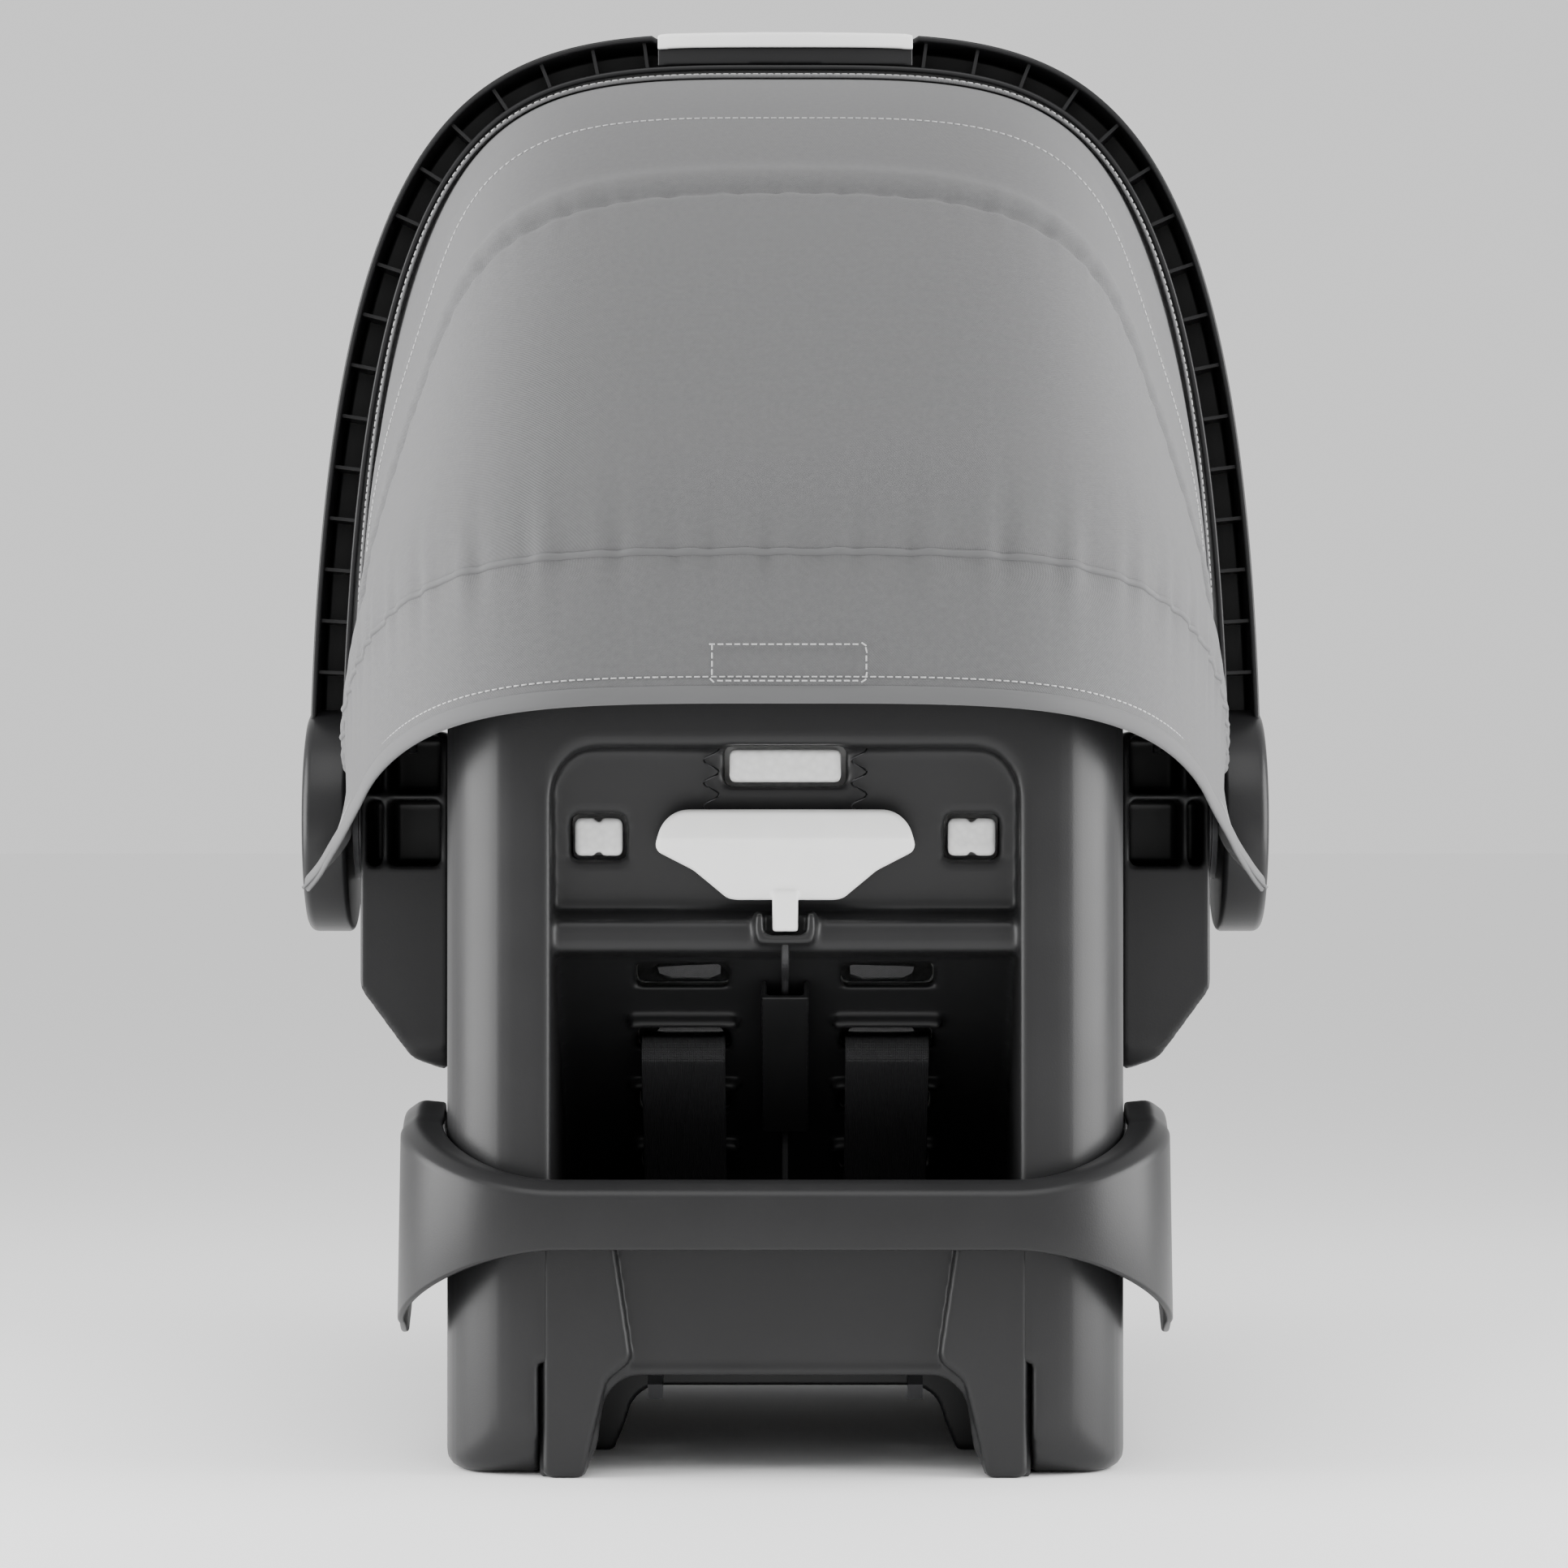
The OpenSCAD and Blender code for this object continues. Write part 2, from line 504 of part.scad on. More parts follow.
splitter_w = 2 * (strap_x + web_w / 2) + 10;
module splitter_plate() color([0.6, 0.6, 0.62]) difference() {
    extrude_z(rounded([[-splitter_w / 2, splitter_y - 8, 6], [splitter_w / 2, splitter_y - 8, 6],
        [splitter_w / 2, splitter_y + 5, 4], [web_w / 2 + 8, splitter_y + 8, 4], [web_w / 2 + 6,
            splitter_y + 24, 4],
        [-web_w / 2 - 6, splitter_y + 24, 4], [-web_w / 2 - 8, splitter_y + 8, 4], [-splitter_w / 2,
            splitter_y + 5, 4]]),
        splitter_z - web_t / 2 - 3, splitter_z - web_t / 2);
    box([-web_w / 2 - 1, splitter_y + 16, splitter_z - 5], [web_w / 2 + 1, splitter_y + 19,
        splitter_z + 1]);
}
// The strap that tightens the harness: under the foam, up through its housing and along the pad
module adjuster_strap() webbing() {
    rise = [adjuster_y, adjuster_z] - 22 * [-sin(adjuster_tilt), cos(adjuster_tilt)];
    tail = pad_t + 2.5;
    surface = shifted(seat_line(), tail);
    extrude_x(strip(bent([[splitter_y + 13, splitter_z, 0], [-96 * ky, splitter_z, 10], [-58 * ky,
        floor_z + 8, 20],
        [66 * ky, floor_z + 8, 30], [rise.x - 10, rise.y - 4, 10],
        [adjuster_y - 9 - 6 * sin(adjuster_tilt), adjuster_z - 2, 8],
        [adjuster_y - tail * sin(adjuster_tilt), adjuster_z + tail * cos(adjuster_tilt), 5],
        concat(flat2(surface[6]), [40]), concat(flat2(surface[6]) * 0.25 + flat2(surface[7]) * 0.75,
            [0])]), web_t),
        -web_w / 2 + 1, web_w / 2 - 1);
}
adjuster_button_w = 22;
module adjuster_housing() color([0.08, 0.08, 0.085]) adjuster_frame() difference() {
    extrude_z(rounded([[-housing_w / 2, -housing_l / 2, 6], [housing_w / 2, -housing_l / 2, 6],
        [housing_w / 2, housing_l / 2, 6], [-housing_w / 2, housing_l / 2, 6]]), -foam_t - 6, pad_t + 11);
    box([-web_w / 2 - 1, -housing_l / 2 - 1, -foam_t - 7], [web_w / 2 + 1, housing_l / 2 + 1, pad_t + 8]);
    box([-adjuster_button_w / 2 - 0.3, -9.3, pad_t + 7], [adjuster_button_w / 2 + 0.3, 5.3, pad_t + 12]);
}
module adjuster_button() color([0.16, 0.16, 0.165]) adjuster_frame()
    box([-adjuster_button_w / 2, -9, pad_t + 8.2], [adjuster_button_w / 2, 5, pad_t + 14]);

guide_y = 132 * ky;
guide_l = 34;
module belt_guide() color([0.1, 0.1, 0.105]) {
    z0 = lookup(guide_y - guide_l / 2, [[-60 * ky, 291 * kz], [170 * ky, 262 * kz]]) + 0.6;
    extrude_y(rounded([[side_x + 1, z0, 1], [side_x + rim_reach - 6, z0, 1], [side_x + rim_reach - 6,
        z0 + 5, 1],
        [side_x + 5, z0 + 5, 1], [side_x + 5, z0 + 11, 1], [side_x + rim_reach - 3, z0 + 11, 1],
        [side_x + rim_reach - 3, z0 + 16, 2], [side_x + 1, z0 + 16, 3]]), guide_y - guide_l / 2,
        guide_y + guide_l / 2);
}
module belt_guide_left() mirrored(-1) belt_guide();
module belt_guide_right() belt_guide();

// ---------------------------------------------------------------- pods, hubs and handle
module pod_bolts(x0, x1, r) for (side = [-1, 1], y = [-60, 60])
    mirrored(side) translate([x0, y, 214 * kz]) rotate([0, 90, 0]) cylinder(h = x1 - x0, r = r);
pod_top = 296 * kz;
module pod() color([0.09, 0.09, 0.095]) difference() {
    intersection() {
        extrude_y(rounded([[side_x + 0.4, 150 * kz, 3], [side_x + 0.4, pod_top, 4], [pod_out - 6, pod_top,
            4],
            [pod_out, pod_top - 24, 10],
            [pod_out, 186 * kz, 10], [side_x + 16, 156 * kz, 12]]), -pod_l + 1, pod_l - 1);
        extrude_x(rounded([[-pod_l + 1, 150 * kz, 14], [-pod_l + 1, pod_top, 10], [pod_l - 1,
            pod_top - 12, 20],
            [pod_l - 1, 176 * kz, 40], [0, 148 * kz, 200]]), 0, half_w);
    }
    difference() {
        box([side_x + 4, -pod_l - 1, pod_top - 58], [pod_out - 3, -pod_l + 32, pod_top - 3]);
        box([0, -pod_l - 1, pod_top - 30], [half_w, pod_l, pod_top - 27.5]);
        box([pod_out - 12, -pod_l + 2, 0], [pod_out - 9.5, pod_l, pod_top]);
    }
    box([side_x + 5, -pod_l + 36, 186 * kz], [pod_out - 4, -28, pod_top - 8]);
    box([side_x + 5, 28, 186 * kz], [pod_out - 4, pod_l - 10, pod_top - 26]);
    along_x(side_x - 1, pod_out + 1, pin_r + 0.02);
    pod_bolts(side_x - 1, side_x + 20, 1.95);
}
module pod_left() mirrored(-1) pod();
module pod_right() pod();
module shell_screws() color([0.5, 0.5, 0.52]) {
    pod_bolts(side_x - 5.8, side_x + 16, 1.9);
    pod_bolts(side_x - 8, side_x - 5.8, 4);
}
pin_in = side_x + 6;
pin_end = pod_out + 20.3;
module pivot_pins() color([0.6, 0.61, 0.63]) for (side = [-1, 1]) mirrored(side) along_x(pin_in, pin_end,
    pin_r);
module hub_boss() color([0.08, 0.08, 0.085]) difference() {
    union() {
        along_x(pod_out, boss_out, boss_r);
        along_x(boss_out - 1, hub_in - fit_gap, journal_r);
    }
    along_x(pod_out - 1, hub_in + 1, pin_r + 0.02);
}
module hub_boss_left() mirrored(-1) hub_boss();
module hub_boss_right() hub_boss();

// Outer outline of the handle above the hub axis: t runs from its top (0) to a hub (1), d is inward
arch_b = [[0, handle_rise], [0.574 * half_w, handle_rise], [0.947 * half_w, handle_rise + 6], [half_w - 2,
    43]];
function bezier(b, t) = b[0] * pow(1 - t, 3) + 3 * b[1] * t * pow(1 - t,
    2) + 3 * b[2] * t * t * (1 - t) + b[3] * pow(t, 3);
function slope(b, t) = 3 * ((b[1] - b[0]) * pow(1 - t,
    2) + 2 * (b[2] - b[1]) * t * (1 - t) + (b[3] - b[2]) * t * t);
function arch_at(t, d) = let (u = unit(slope(arch_b, t))) bezier(arch_b, t) + d * [u.y, -u.x];
function arch_line(d, t1 = 1, n = 26) = concat(
    [for (i = [n:-1:1]) let (p = arch_at(t1 * i / n, d)) [-p.x, p.y]],
        [for (i = [0:n]) arch_at(t1 * i / n, d)]);
function arch_band(d0, d1) = let (a = arch_line(d0), b = arch_line(d1)) concat(a,
    [for (i = [len(b) - 1:-1:0]) b[i]]);
module arch_slab(d0, d1, y0, y1) translate([0, 0, hub_z]) extrude_y(arch_band(d0, d1), y0, y1);

grip_half = 56;
cover_t = 2.4;
// Where the ribs start, just outside the grip
function t_beyond(x, t = 0) = arch_at(t, 0).x >= x ? t : t_beyond(x, t + 0.002);
grip_t0 = t_beyond(grip_half + 5);
arch_len = [for (t = grip_t0, s = 0; t <= 1; s = s + norm(slope(arch_b, t)) * 0.005, t = t + 0.005) s];
rib_gap = arch_len[len(arch_len) - 1] / (rib_count + 0.4);
rib_t = [for (t = grip_t0, k = 0; k < rib_count; t = t + rib_gap / norm(slope(arch_b, t)), k = k + 1) t];
module grip_zone(grow) box([-grip_half - grow, -handle_d, hub_z + handle_rise / 2], [grip_half + grow,
    handle_d, hub_z + 2 * handle_rise]);
module hub_house() difference() {
    along_x(hub_in, cap_out - cap_t, hub_r);
    along_x(hub_in + hub_wall, half_w, hub_r - 17);
    along_x(hub_in - 1, half_w, pin_r + 0.05);
}
module hub_lugs() intersection() {
    for (a = [0:45:315])
        translate([hub_in + hub_wall - 1, 0, hub_z]) rotate([a + 22.5, 0, 0]) translate([0, 21,
            -3]) cube([11, 12.5, 6]);
    along_x(hub_in, half_w, hub_r - 15);
}
module handle_arch() color([0.1, 0.1, 0.105]) {
    half_d = handle_d / 2;
    difference() {
        arch_slab(0, handle_t, -half_d, half_d);
        intersection() {
            arch_slab(-2, cover_t + 0.2, -handle_d, handle_d);
            grip_zone(0.3);
        }
        intersection() {
            arch_slab(cover_t + 0.2 + handle_wall, handle_t - handle_wall, -handle_d, half_d - handle_wall);
            grip_zone(1.5);
        }
        difference() {
            arch_slab(handle_wall, handle_t - handle_wall, -handle_d, half_d - handle_wall);
            grip_zone(3.5);
        }
        for (side = [-1, 1]) mirrored(side) {
            along_x(hub_in + hub_wall, half_w, hub_r - 4);
            along_x(cap_out - cap_t, half_w + 1, hub_r + 0.4);
        }
    }
    for (side = [-1, 1]) mirrored(side) {
        hub_house();
        hub_lugs();
        for (t = rib_t) translate([0, 0, hub_z]) extrude_y(let (u = unit(slope(arch_b, t)) * 0.9,
            a = arch_at(t, handle_wall - 0.4), b = arch_at(t, handle_t - handle_wall + 0.4))
            [a - u, a + u, b + u, b - u], -half_d + 3, half_d - 1);
    }
}
module grip_cover() color([0.85, 0.85, 0.84]) intersection() {
    union() {
        arch_slab(0, cover_t, -handle_d / 2 - 2.2, handle_d / 2 + 2.2);
        for (y = [-handle_d / 2 - 2.2, handle_d / 2 + 0.2]) arch_slab(cover_t - 0.2, 6.5, y, y + 2);
    }
    grip_zone(0);
}
module grip_insert() color([0.12, 0.12, 0.125]) intersection() {
    arch_slab(cover_t + handle_wall + 0.5, handle_t - handle_wall - 0.3, -handle_d / 2 + 0.2,
        handle_d / 2 - handle_wall - 0.3);
    grip_zone(0);
}
module hub_cap() color([0.1, 0.1, 0.105]) difference() {
    along_x(cap_out - cap_t, cap_out, hub_r);
    along_x(cap_out - cap_t - 1, half_w + 1, button_r + 0.4);
}
module hub_cap_left() mirrored(-1) hub_cap();
module hub_cap_right() hub_cap();
gear_x = pin_end - 1.8;
gear_t = 5;
module hub_button() color([0.16, 0.16, 0.165]) difference() {
    union() {
        along_x(gear_x + gear_t + 2, half_w, button_r);
        along_x(gear_x + gear_t - 1, gear_x + gear_t + 3, button_r - 3);
        along_x(gear_x, gear_x + gear_t, 19);
        for (a = [0:45:315])
            translate([gear_x, 0, hub_z]) rotate([a, 0, 0]) translate([0, 17, -4]) cube([gear_t, 10, 8]);
    }
    along_x(gear_x - 1, pin_end + button_travel + 0.5, pin_r + 0.4);
}
module hub_button_left() mirrored(-1) hub_button();
module hub_button_right() hub_button();
// A conical coil along X
module coil_x(x0, x1, r0, r1, wire, turns) {
    n = round(turns * 14);
    translate([0, 0, hub_z]) loft([for (k = [0:n]) let (a = 360 * turns * k / n, r = r0 + (r1 - r0) * k / n,
        x = x0 + (x1 - x0) * k / n) [for (j = [0:5]) let (b = -60 * j)
        [x + wire * sin(b), (r + wire * cos(b)) * cos(a), (r + wire * cos(b)) * sin(a)]]]);
}
module lock_spring() color([0.7, 0.7, 0.7]) coil_x(hub_in + hub_wall + 0.5, gear_x - 0.5, 18, 12, 0.35, 3);
module lock_spring_left() mirrored(-1) lock_spring();
module lock_spring_right() lock_spring();

// ---------------------------------------------------------------- canopy
canopy_d = 21;
bow_d = canopy_d + cloth_t + 0.4 + bow_r;
bow_low = 46;
cloth_low = 60;
// Share of the arch at which the canopy ends above the hub
function t_at(h, t = 1) = arch_at(t, bow_d).y >= h ? t : t_at(h, t - 0.002);
function t_beyond_low(h, t = 1) = arch_at(t, 0).y >= h ? t : t_beyond_low(h, t - 0.002);
cloth_end = t_at(cloth_low);
bow_end = t_at(bow_low);
// A bow lies in the XY plane of its own frame, with the hub axis at its origin, and is turned to its angle
module bow(angle, ring) translate([0, 0, hub_z]) rotate([angle, 0, 0]) color([0.3, 0.3, 0.31]) {
    path = arch_line(bow_d, bow_end, 22);
    x0 = boss_out + fit_gap + ring * (ring_t + fit_gap);
    loft([for (i = [0:len(path) - 1]) let (s = side_of(path, i)) [for (j = [0:7]) let (a = 45 * j)
        [path[i].x + bow_r * cos(a) * s.x, path[i].y + bow_r * cos(a) * s.y, bow_r * sin(a)]]]);
    for (side = [-1, 1]) mirrored(side) difference() {
        union() {
            translate([x0, 0, 0]) rotate([0, 90, 0]) cylinder(h = ring_t, r = journal_r + 8);
            box([x0, 18, -5], [x0 + ring_t, bow_low + 7, 5]);
            box([path[len(path) - 1].x - bow_r, bow_low - 3, -4], [x0 + ring_t, bow_low + 7, 4]);
        }
        translate([x0 - 1, 0, 0]) rotate([0, 90, 0]) cylinder(h = ring_t + 2, r = journal_r + 0.05);
    }
}
module mid_bow() bow(mid_angle, 0);
module front_bow() bow(front_angle, 1);
// The cloth is a body of revolution about the hub axis, from angle a0 to a1
module cloth(a0, a1) color([0.42, 0.42, 0.43]) {
    outer = arch_line(canopy_d, cloth_end, 16);
    inner = arch_line(canopy_d + cloth_t, cloth_end, 16);
    last = len(inner) - 1;
    translate([0, 0, hub_z]) rotate([a0, 0, 0]) rotate([90, 0, 90]) rotate_extrude(angle = a1 - a0)
        polygon([for (p = outer) [p.y, p.x], for (i = [last:-1:0]) [inner[i].y, inner[i].x]]);
}
seam_angle = 162;
module canopy_front() cloth(front_angle, mid_angle - 1);
module canopy_rear() cloth(mid_angle + 1, seam_angle - 1);
module canopy_skirt() {
    cloth(seam_angle, skirt_angle);
    x1 = arch_at(t_beyond_low(150), handle_t + 1.2).x;
    color([0.42, 0.42, 0.43]) for (side = [-1, 1]) mirrored(side)
        extrude_x([[-68, hub_z + 13], [-86, hub_z - 14], [-104, hub_z - 28], [-128, hub_z - 30], [-148,
            hub_z - 4],
            [-134, hub_z + 24]], x1 - cloth_t, x1);
}

// ---------------------------------------------------------------- release lever and its cable
lever_half = lever_w / 2;
lever_low = ledge_z + 20;
lever_top = ledge_z + 56;
lever_back = rear_y + 1;
lever_travel = 12;
spring_x = 29;
module release_lever() color([0.8, 0.8, 0.79]) difference() {
    union() {
        extrude_y(rounded([[-lever_half, lever_top, 5], [lever_half, lever_top, 5], [lever_half,
            lever_low + 18, 10],
            [lever_half * 0.45, lever_low, 12], [-lever_half * 0.45, lever_low, 12], [-lever_half,
                lever_low + 18, 10]]),
            lever_back, rear_y + 12);
        box([-5.5, lever_back + 4, lever_low - 13], [5.5, lever_back + 9, lever_low + 2]);
    }
    extrude_y(rounded([[-lever_half + 3, lever_top + 1, 0], [lever_half - 3, lever_top + 1, 0],
        [lever_half - 3, lever_low + 20, 8], [lever_half * 0.42, lever_low + 3, 10], [-lever_half * 0.42,
            lever_low + 3, 10],
        [-lever_half + 3, lever_low + 20, 8]]), lever_back + 2.5, rear_y + 13);
    recess_wall_clearance();
}
// Keeps the lever clear of the sloping wall over its whole travel
module recess_wall_clearance() extrude_x([[rear_y + 12 - 0.6 - 0.18 * 30, 400 * kz], [rear_y + 12 - 0.6,
    ledge_z + 60],
    [rear_y + 24 - 2.8, ledge_z + 18], [rear_y + 60, ledge_z + 18], [rear_y + 60, 400 * kz]], -half_w,
        half_w);
module coil_z(x, y, z0, z1, r, wire, turns) {
    n = turns * 12;
    loft([for (k = [0:n]) let (a = 360 * turns * k / n,
        z = z0 + (z1 - z0) * k / n) [for (j = [0:5]) let (b = -60 * j)
        [x + (r + wire * cos(b)) * cos(a), y + (r + wire * cos(b)) * sin(a), z + wire * sin(b)]]]);
}
module lever_spring() color([0.2, 0.2, 0.21]) for (side = [-1, 1])
    coil_z(side * spring_x, rear_y + 7.9, lever_low + 15, recess_top - 1.5, 3, 0.4, 5);

// The sloping back panel, from its top to its foot, and its directions down and away from the seat
panel_top = [rear_y + 40, ledge_z - 3];
panel_low = back_point;
down = unit(panel_low - panel_top);
out = [down.y, -down.x];
// Route of the cable down the middle of the back, from the lever's tab to the hooks' tie bar
cable_route = [[rear_y + 7.5, ledge_z + 4], [rear_y + 7.5, ledge_z - 5], panel_top + 8 * down + 4 * out,
    panel_low - 35 * down + 4 * out, [-152 * ky, 100 * kz], [shaft_y + 6, shaft_z + 14]];
cable_bend = [0, 5, 8, 12, 15, 0];
cable_r = 1.5;
module release_cable() color([0.12, 0.12, 0.12]) {
    path = bent([for (i = [0:5]) concat(cable_route[i], [cable_bend[i]])]);
    loft([for (i = [0:len(path) - 1]) let (s = side_of(path, i)) [for (j = [0:7]) let (a = 45 * j)
        [cable_r * sin(a), path[i].x + cable_r * cos(a) * s.x, path[i].y + cable_r * cos(a) * s.y]]]);
}
module cable_cover() color([0.1, 0.1, 0.105]) {
    line = [panel_top + 14 * down, panel_low - 44 * down];
    extrude_x(strip([line[0] + 9 * out, line[1] + 9 * out], 2), -9.5, 9.5);
    for (side = [-1, 1])
        extrude_x(strip([line[0] + 4.8 * out, line[1] + 4.8 * out], 7.4), side * 8.5 - 1, side * 8.5 + 1);
}

seat_shell();
bottom_pan();
rear_guard_band();
pod_left();
pod_right();
foam_liner();
seat_pad();
head_pillow();
shoulder_strap_left();
shoulder_strap_right();
strap_cover_left();
strap_cover_right();
hip_strap_left();
hip_strap_right();
crotch_strap();
buckle_body();
buckle_button();
buckle_tongue_left();
buckle_tongue_right();
chest_clip_left();
chest_clip_right();
splitter_plate();
adjuster_strap();
adjuster_housing();
adjuster_button();
belt_guide_left();
belt_guide_right();
hub_boss_left();
hub_boss_right();
pivot_pins();
handle_arch();
grip_cover();
grip_insert();
hub_cap_left();
hub_cap_right();
hub_button_left();
hub_button_right();
lock_spring_left();
lock_spring_right();
mid_bow();
front_bow();
canopy_rear();
canopy_front();
canopy_skirt();
release_lever();
lever_spring();
cable_cover();
release_cable();
latch_shaft();
latch_hooks();
shell_screws();
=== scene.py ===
# %% [markdown]
# # An infant car seat, cell by cell
# The CAD frame gives every piece its place. This lesson gives each piece its look: moulded black
# plastic, a sewn canopy, a padded lining, woven webbing and white bead foam.
# Lengths in the making are millimetres, as on a workshop drawing, and become metres in the meshes.

# %% The frame
import math

import bmesh
import bpy
import numpy as np
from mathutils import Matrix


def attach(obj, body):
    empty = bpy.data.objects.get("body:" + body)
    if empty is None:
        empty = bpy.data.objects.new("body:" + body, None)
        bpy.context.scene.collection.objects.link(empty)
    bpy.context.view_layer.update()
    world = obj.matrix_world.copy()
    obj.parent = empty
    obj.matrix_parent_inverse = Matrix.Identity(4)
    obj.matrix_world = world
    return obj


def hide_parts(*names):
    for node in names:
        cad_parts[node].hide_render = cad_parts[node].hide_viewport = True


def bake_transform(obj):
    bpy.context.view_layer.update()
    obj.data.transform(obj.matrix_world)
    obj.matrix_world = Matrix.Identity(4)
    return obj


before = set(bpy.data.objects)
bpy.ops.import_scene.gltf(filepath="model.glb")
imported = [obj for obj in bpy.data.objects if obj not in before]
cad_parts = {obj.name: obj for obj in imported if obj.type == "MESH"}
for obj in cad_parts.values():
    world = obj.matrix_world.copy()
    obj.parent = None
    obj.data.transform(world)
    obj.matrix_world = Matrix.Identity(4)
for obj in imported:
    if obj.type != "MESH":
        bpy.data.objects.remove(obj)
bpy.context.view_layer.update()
MM = 0.001
HUB = 257.0

# %% [markdown]
# ## Camera
# It stands behind the seat at the height of the hubs, far enough back for the sides to run
# almost parallel. It is made first, because nothing else depends on it.

# %% Camera
camera = bpy.data.objects.new("camera", bpy.data.cameras.new("camera"))
bpy.context.scene.collection.objects.link(camera)
camera.location = (0, -2.300, 0.261)
camera.rotation_euler = (math.radians(90.305), 0, math.radians(0.0135))
camera.data.lens = 119.05
camera.data.sensor_width = 36
bpy.context.scene.camera = camera
print("camera at", tuple(camera.location), "lens", camera.data.lens)

# %% [markdown]
# ## Node trees as expressions
# A shader is maths on a surface. Wrapping a socket in a small class lets that maths be written
# as plain Python, and every operator adds the Math node that it stands for.

# %% A socket that can be added and multiplied
class Value:
    def __init__(self, tree, socket):
        self.tree, self.socket = tree, socket

    def math(self, operation, *others):
        return self.tree.add("ShaderNodeMath", {"operation": operation}, dict(enumerate([self, *others])))

    def __add__(self, other): return self.math("ADD", other)
    def __sub__(self, other): return self.math("SUBTRACT", other)
    def __mul__(self, other): return self.math("MULTIPLY", other)
    def __rsub__(self, other):
        return self.tree.add("ShaderNodeMath", {"operation": "SUBTRACT"}, {0: other, 1: self})

    __radd__, __rmul__ = __add__, __mul__


class Tree:
    """A node tree. add() takes a node's type, its settings, and values or links for its sockets."""

    def __init__(self, tree):
        self.tree = tree

    def add(self, kind, settings=None, sockets=None, out=0):
        node = self.tree.nodes.new(kind)
        for key, value in (settings or {}).items():
            setattr(node, key, value)
        for key, value in (sockets or {}).items():
            if isinstance(value, Value):
                self.tree.links.new(value.socket, node.inputs[key])
            else:
                node.inputs[key].default_value = value
        return Value(self, node.outputs[out])


# %% [markdown]
# ## Finishes
# Moulded plastic is never one flat value: the tool leaves a fine spark texture, and handling
# leaves it a little smoother in places. Cloth shows its yarns and a heather of lighter fibres.
# Patterns read Object coordinates in metres, so their scale is real on every piece.

# %% Material helpers
def new_material(name):
    material = bpy.data.materials.new(name)
    material.use_nodes = True
    tree = Tree(material.node_tree)
    shader = material.node_tree.nodes["Principled BSDF"]
    return material, tree, shader


def plug(tree, value, shader, name):
    tree.tree.links.new(value.socket, shader.inputs[name])


def bumped(tree, shader, height, distance, strength=1.0):
    bump = tree.add("ShaderNodeBump", None, {"Height": height, "Distance": distance, "Strength": strength})
    plug(tree, bump, shader, "Normal")


def noise(tree, where, scale, detail=3.0):
    return tree.add("ShaderNodeTexNoise", None, {"Vector": where, "Scale": scale, "Detail": detail})


def tinted(tree, shader, mask, dark, light):
    mix = tree.add("ShaderNodeMix", {"data_type": "RGBA"}, {0: mask, 6: (*dark, 1), 7: (*light, 1)}, out=2)
    plug(tree, mix, shader, "Base Color")


def place(tree, uv=False):
    return tree.add("ShaderNodeTexCoord", None, None, out=2 if uv else 3)


def plastic(name, colour, rough, grain=0.00006):
    material, tree, shader = new_material(name)
    at = place(tree)
    scuff = noise(tree, at, 22, 5)
    tinted(tree, shader, scuff, colour, [c * 1.25 + 0.003 for c in colour])
    plug(tree, scuff * 0.14 + (rough - 0.07), shader, "Roughness")
    bumped(tree, shader, noise(tree, at, 1500, 2), grain, 0.5)
    shader.inputs["Specular IOR Level"].default_value = 0.3
    return material


def axes(tree, at):
    node = tree.add("ShaderNodeSeparateXYZ", None, {0: at}).socket.node
    return [Value(tree, socket) for socket in node.outputs]


def cloth_finish(name, dark, light, pitch, uv):
    material, tree, shader = new_material(name)
    at = place(tree, uv)
    u, v, w = axes(tree, at)
    turns = 2 * math.pi / pitch
    warp = (u * turns).math("SINE")
    weft = ((v + w) * turns).math("SINE")
    heather = noise(tree, at, 420, 4)
    fleck = noise(tree, at, 2600, 2)
    tinted(tree, shader, heather * 0.6 + fleck * 0.4, dark, light)
    plug(tree, fleck * 0.15 + 0.78, shader, "Roughness")
    bumped(tree, shader, warp * weft + fleck, 0.00012, 0.6)
    shader.inputs["Sheen Weight"].default_value = 0.1
    shader.inputs["Sheen Roughness"].default_value = 0.5
    return material


def webbing_finish(name, colour):
    material, tree, shader = new_material(name)
    at = place(tree)
    x, y, z = axes(tree, at)
    twill = ((x + z + y) * 4200).math("SINE") * ((x - z - y) * 4200).math("SINE")
    tinted(tree, shader, noise(tree, at, 900, 3), colour, [c * 1.9 for c in colour])
    plug(tree, noise(tree, at, 300) * 0.2 + 0.5, shader, "Roughness")
    bumped(tree, shader, twill, 0.00018, 0.8)
    return material


def foam_finish(name):
    material, tree, shader = new_material(name)
    at = place(tree)
    beads = tree.add("ShaderNodeTexVoronoi", None, {"Vector": at, "Scale": 330.0})
    tinted(tree, shader, beads, (0.94, 0.94, 0.93), (0.8, 0.8, 0.79))
    plug(tree, beads * 0.2 + 0.7, shader, "Roughness")
    bumped(tree, shader, 1 - beads, 0.0003, 0.6)
    return material


def metal(name, colour):
    material, tree, shader = new_material(name)
    at = place(tree)
    tinted(tree, shader, noise(tree, at, 240, 4), colour, [c * 1.15 for c in colour])
    plug(tree, noise(tree, at, 700) * 0.2 + 0.25, shader, "Roughness")
    bumped(tree, shader, noise(tree, at, 1100), 0.00004, 0.4)
    shader.inputs["Metallic"].default_value = 1.0
    return material


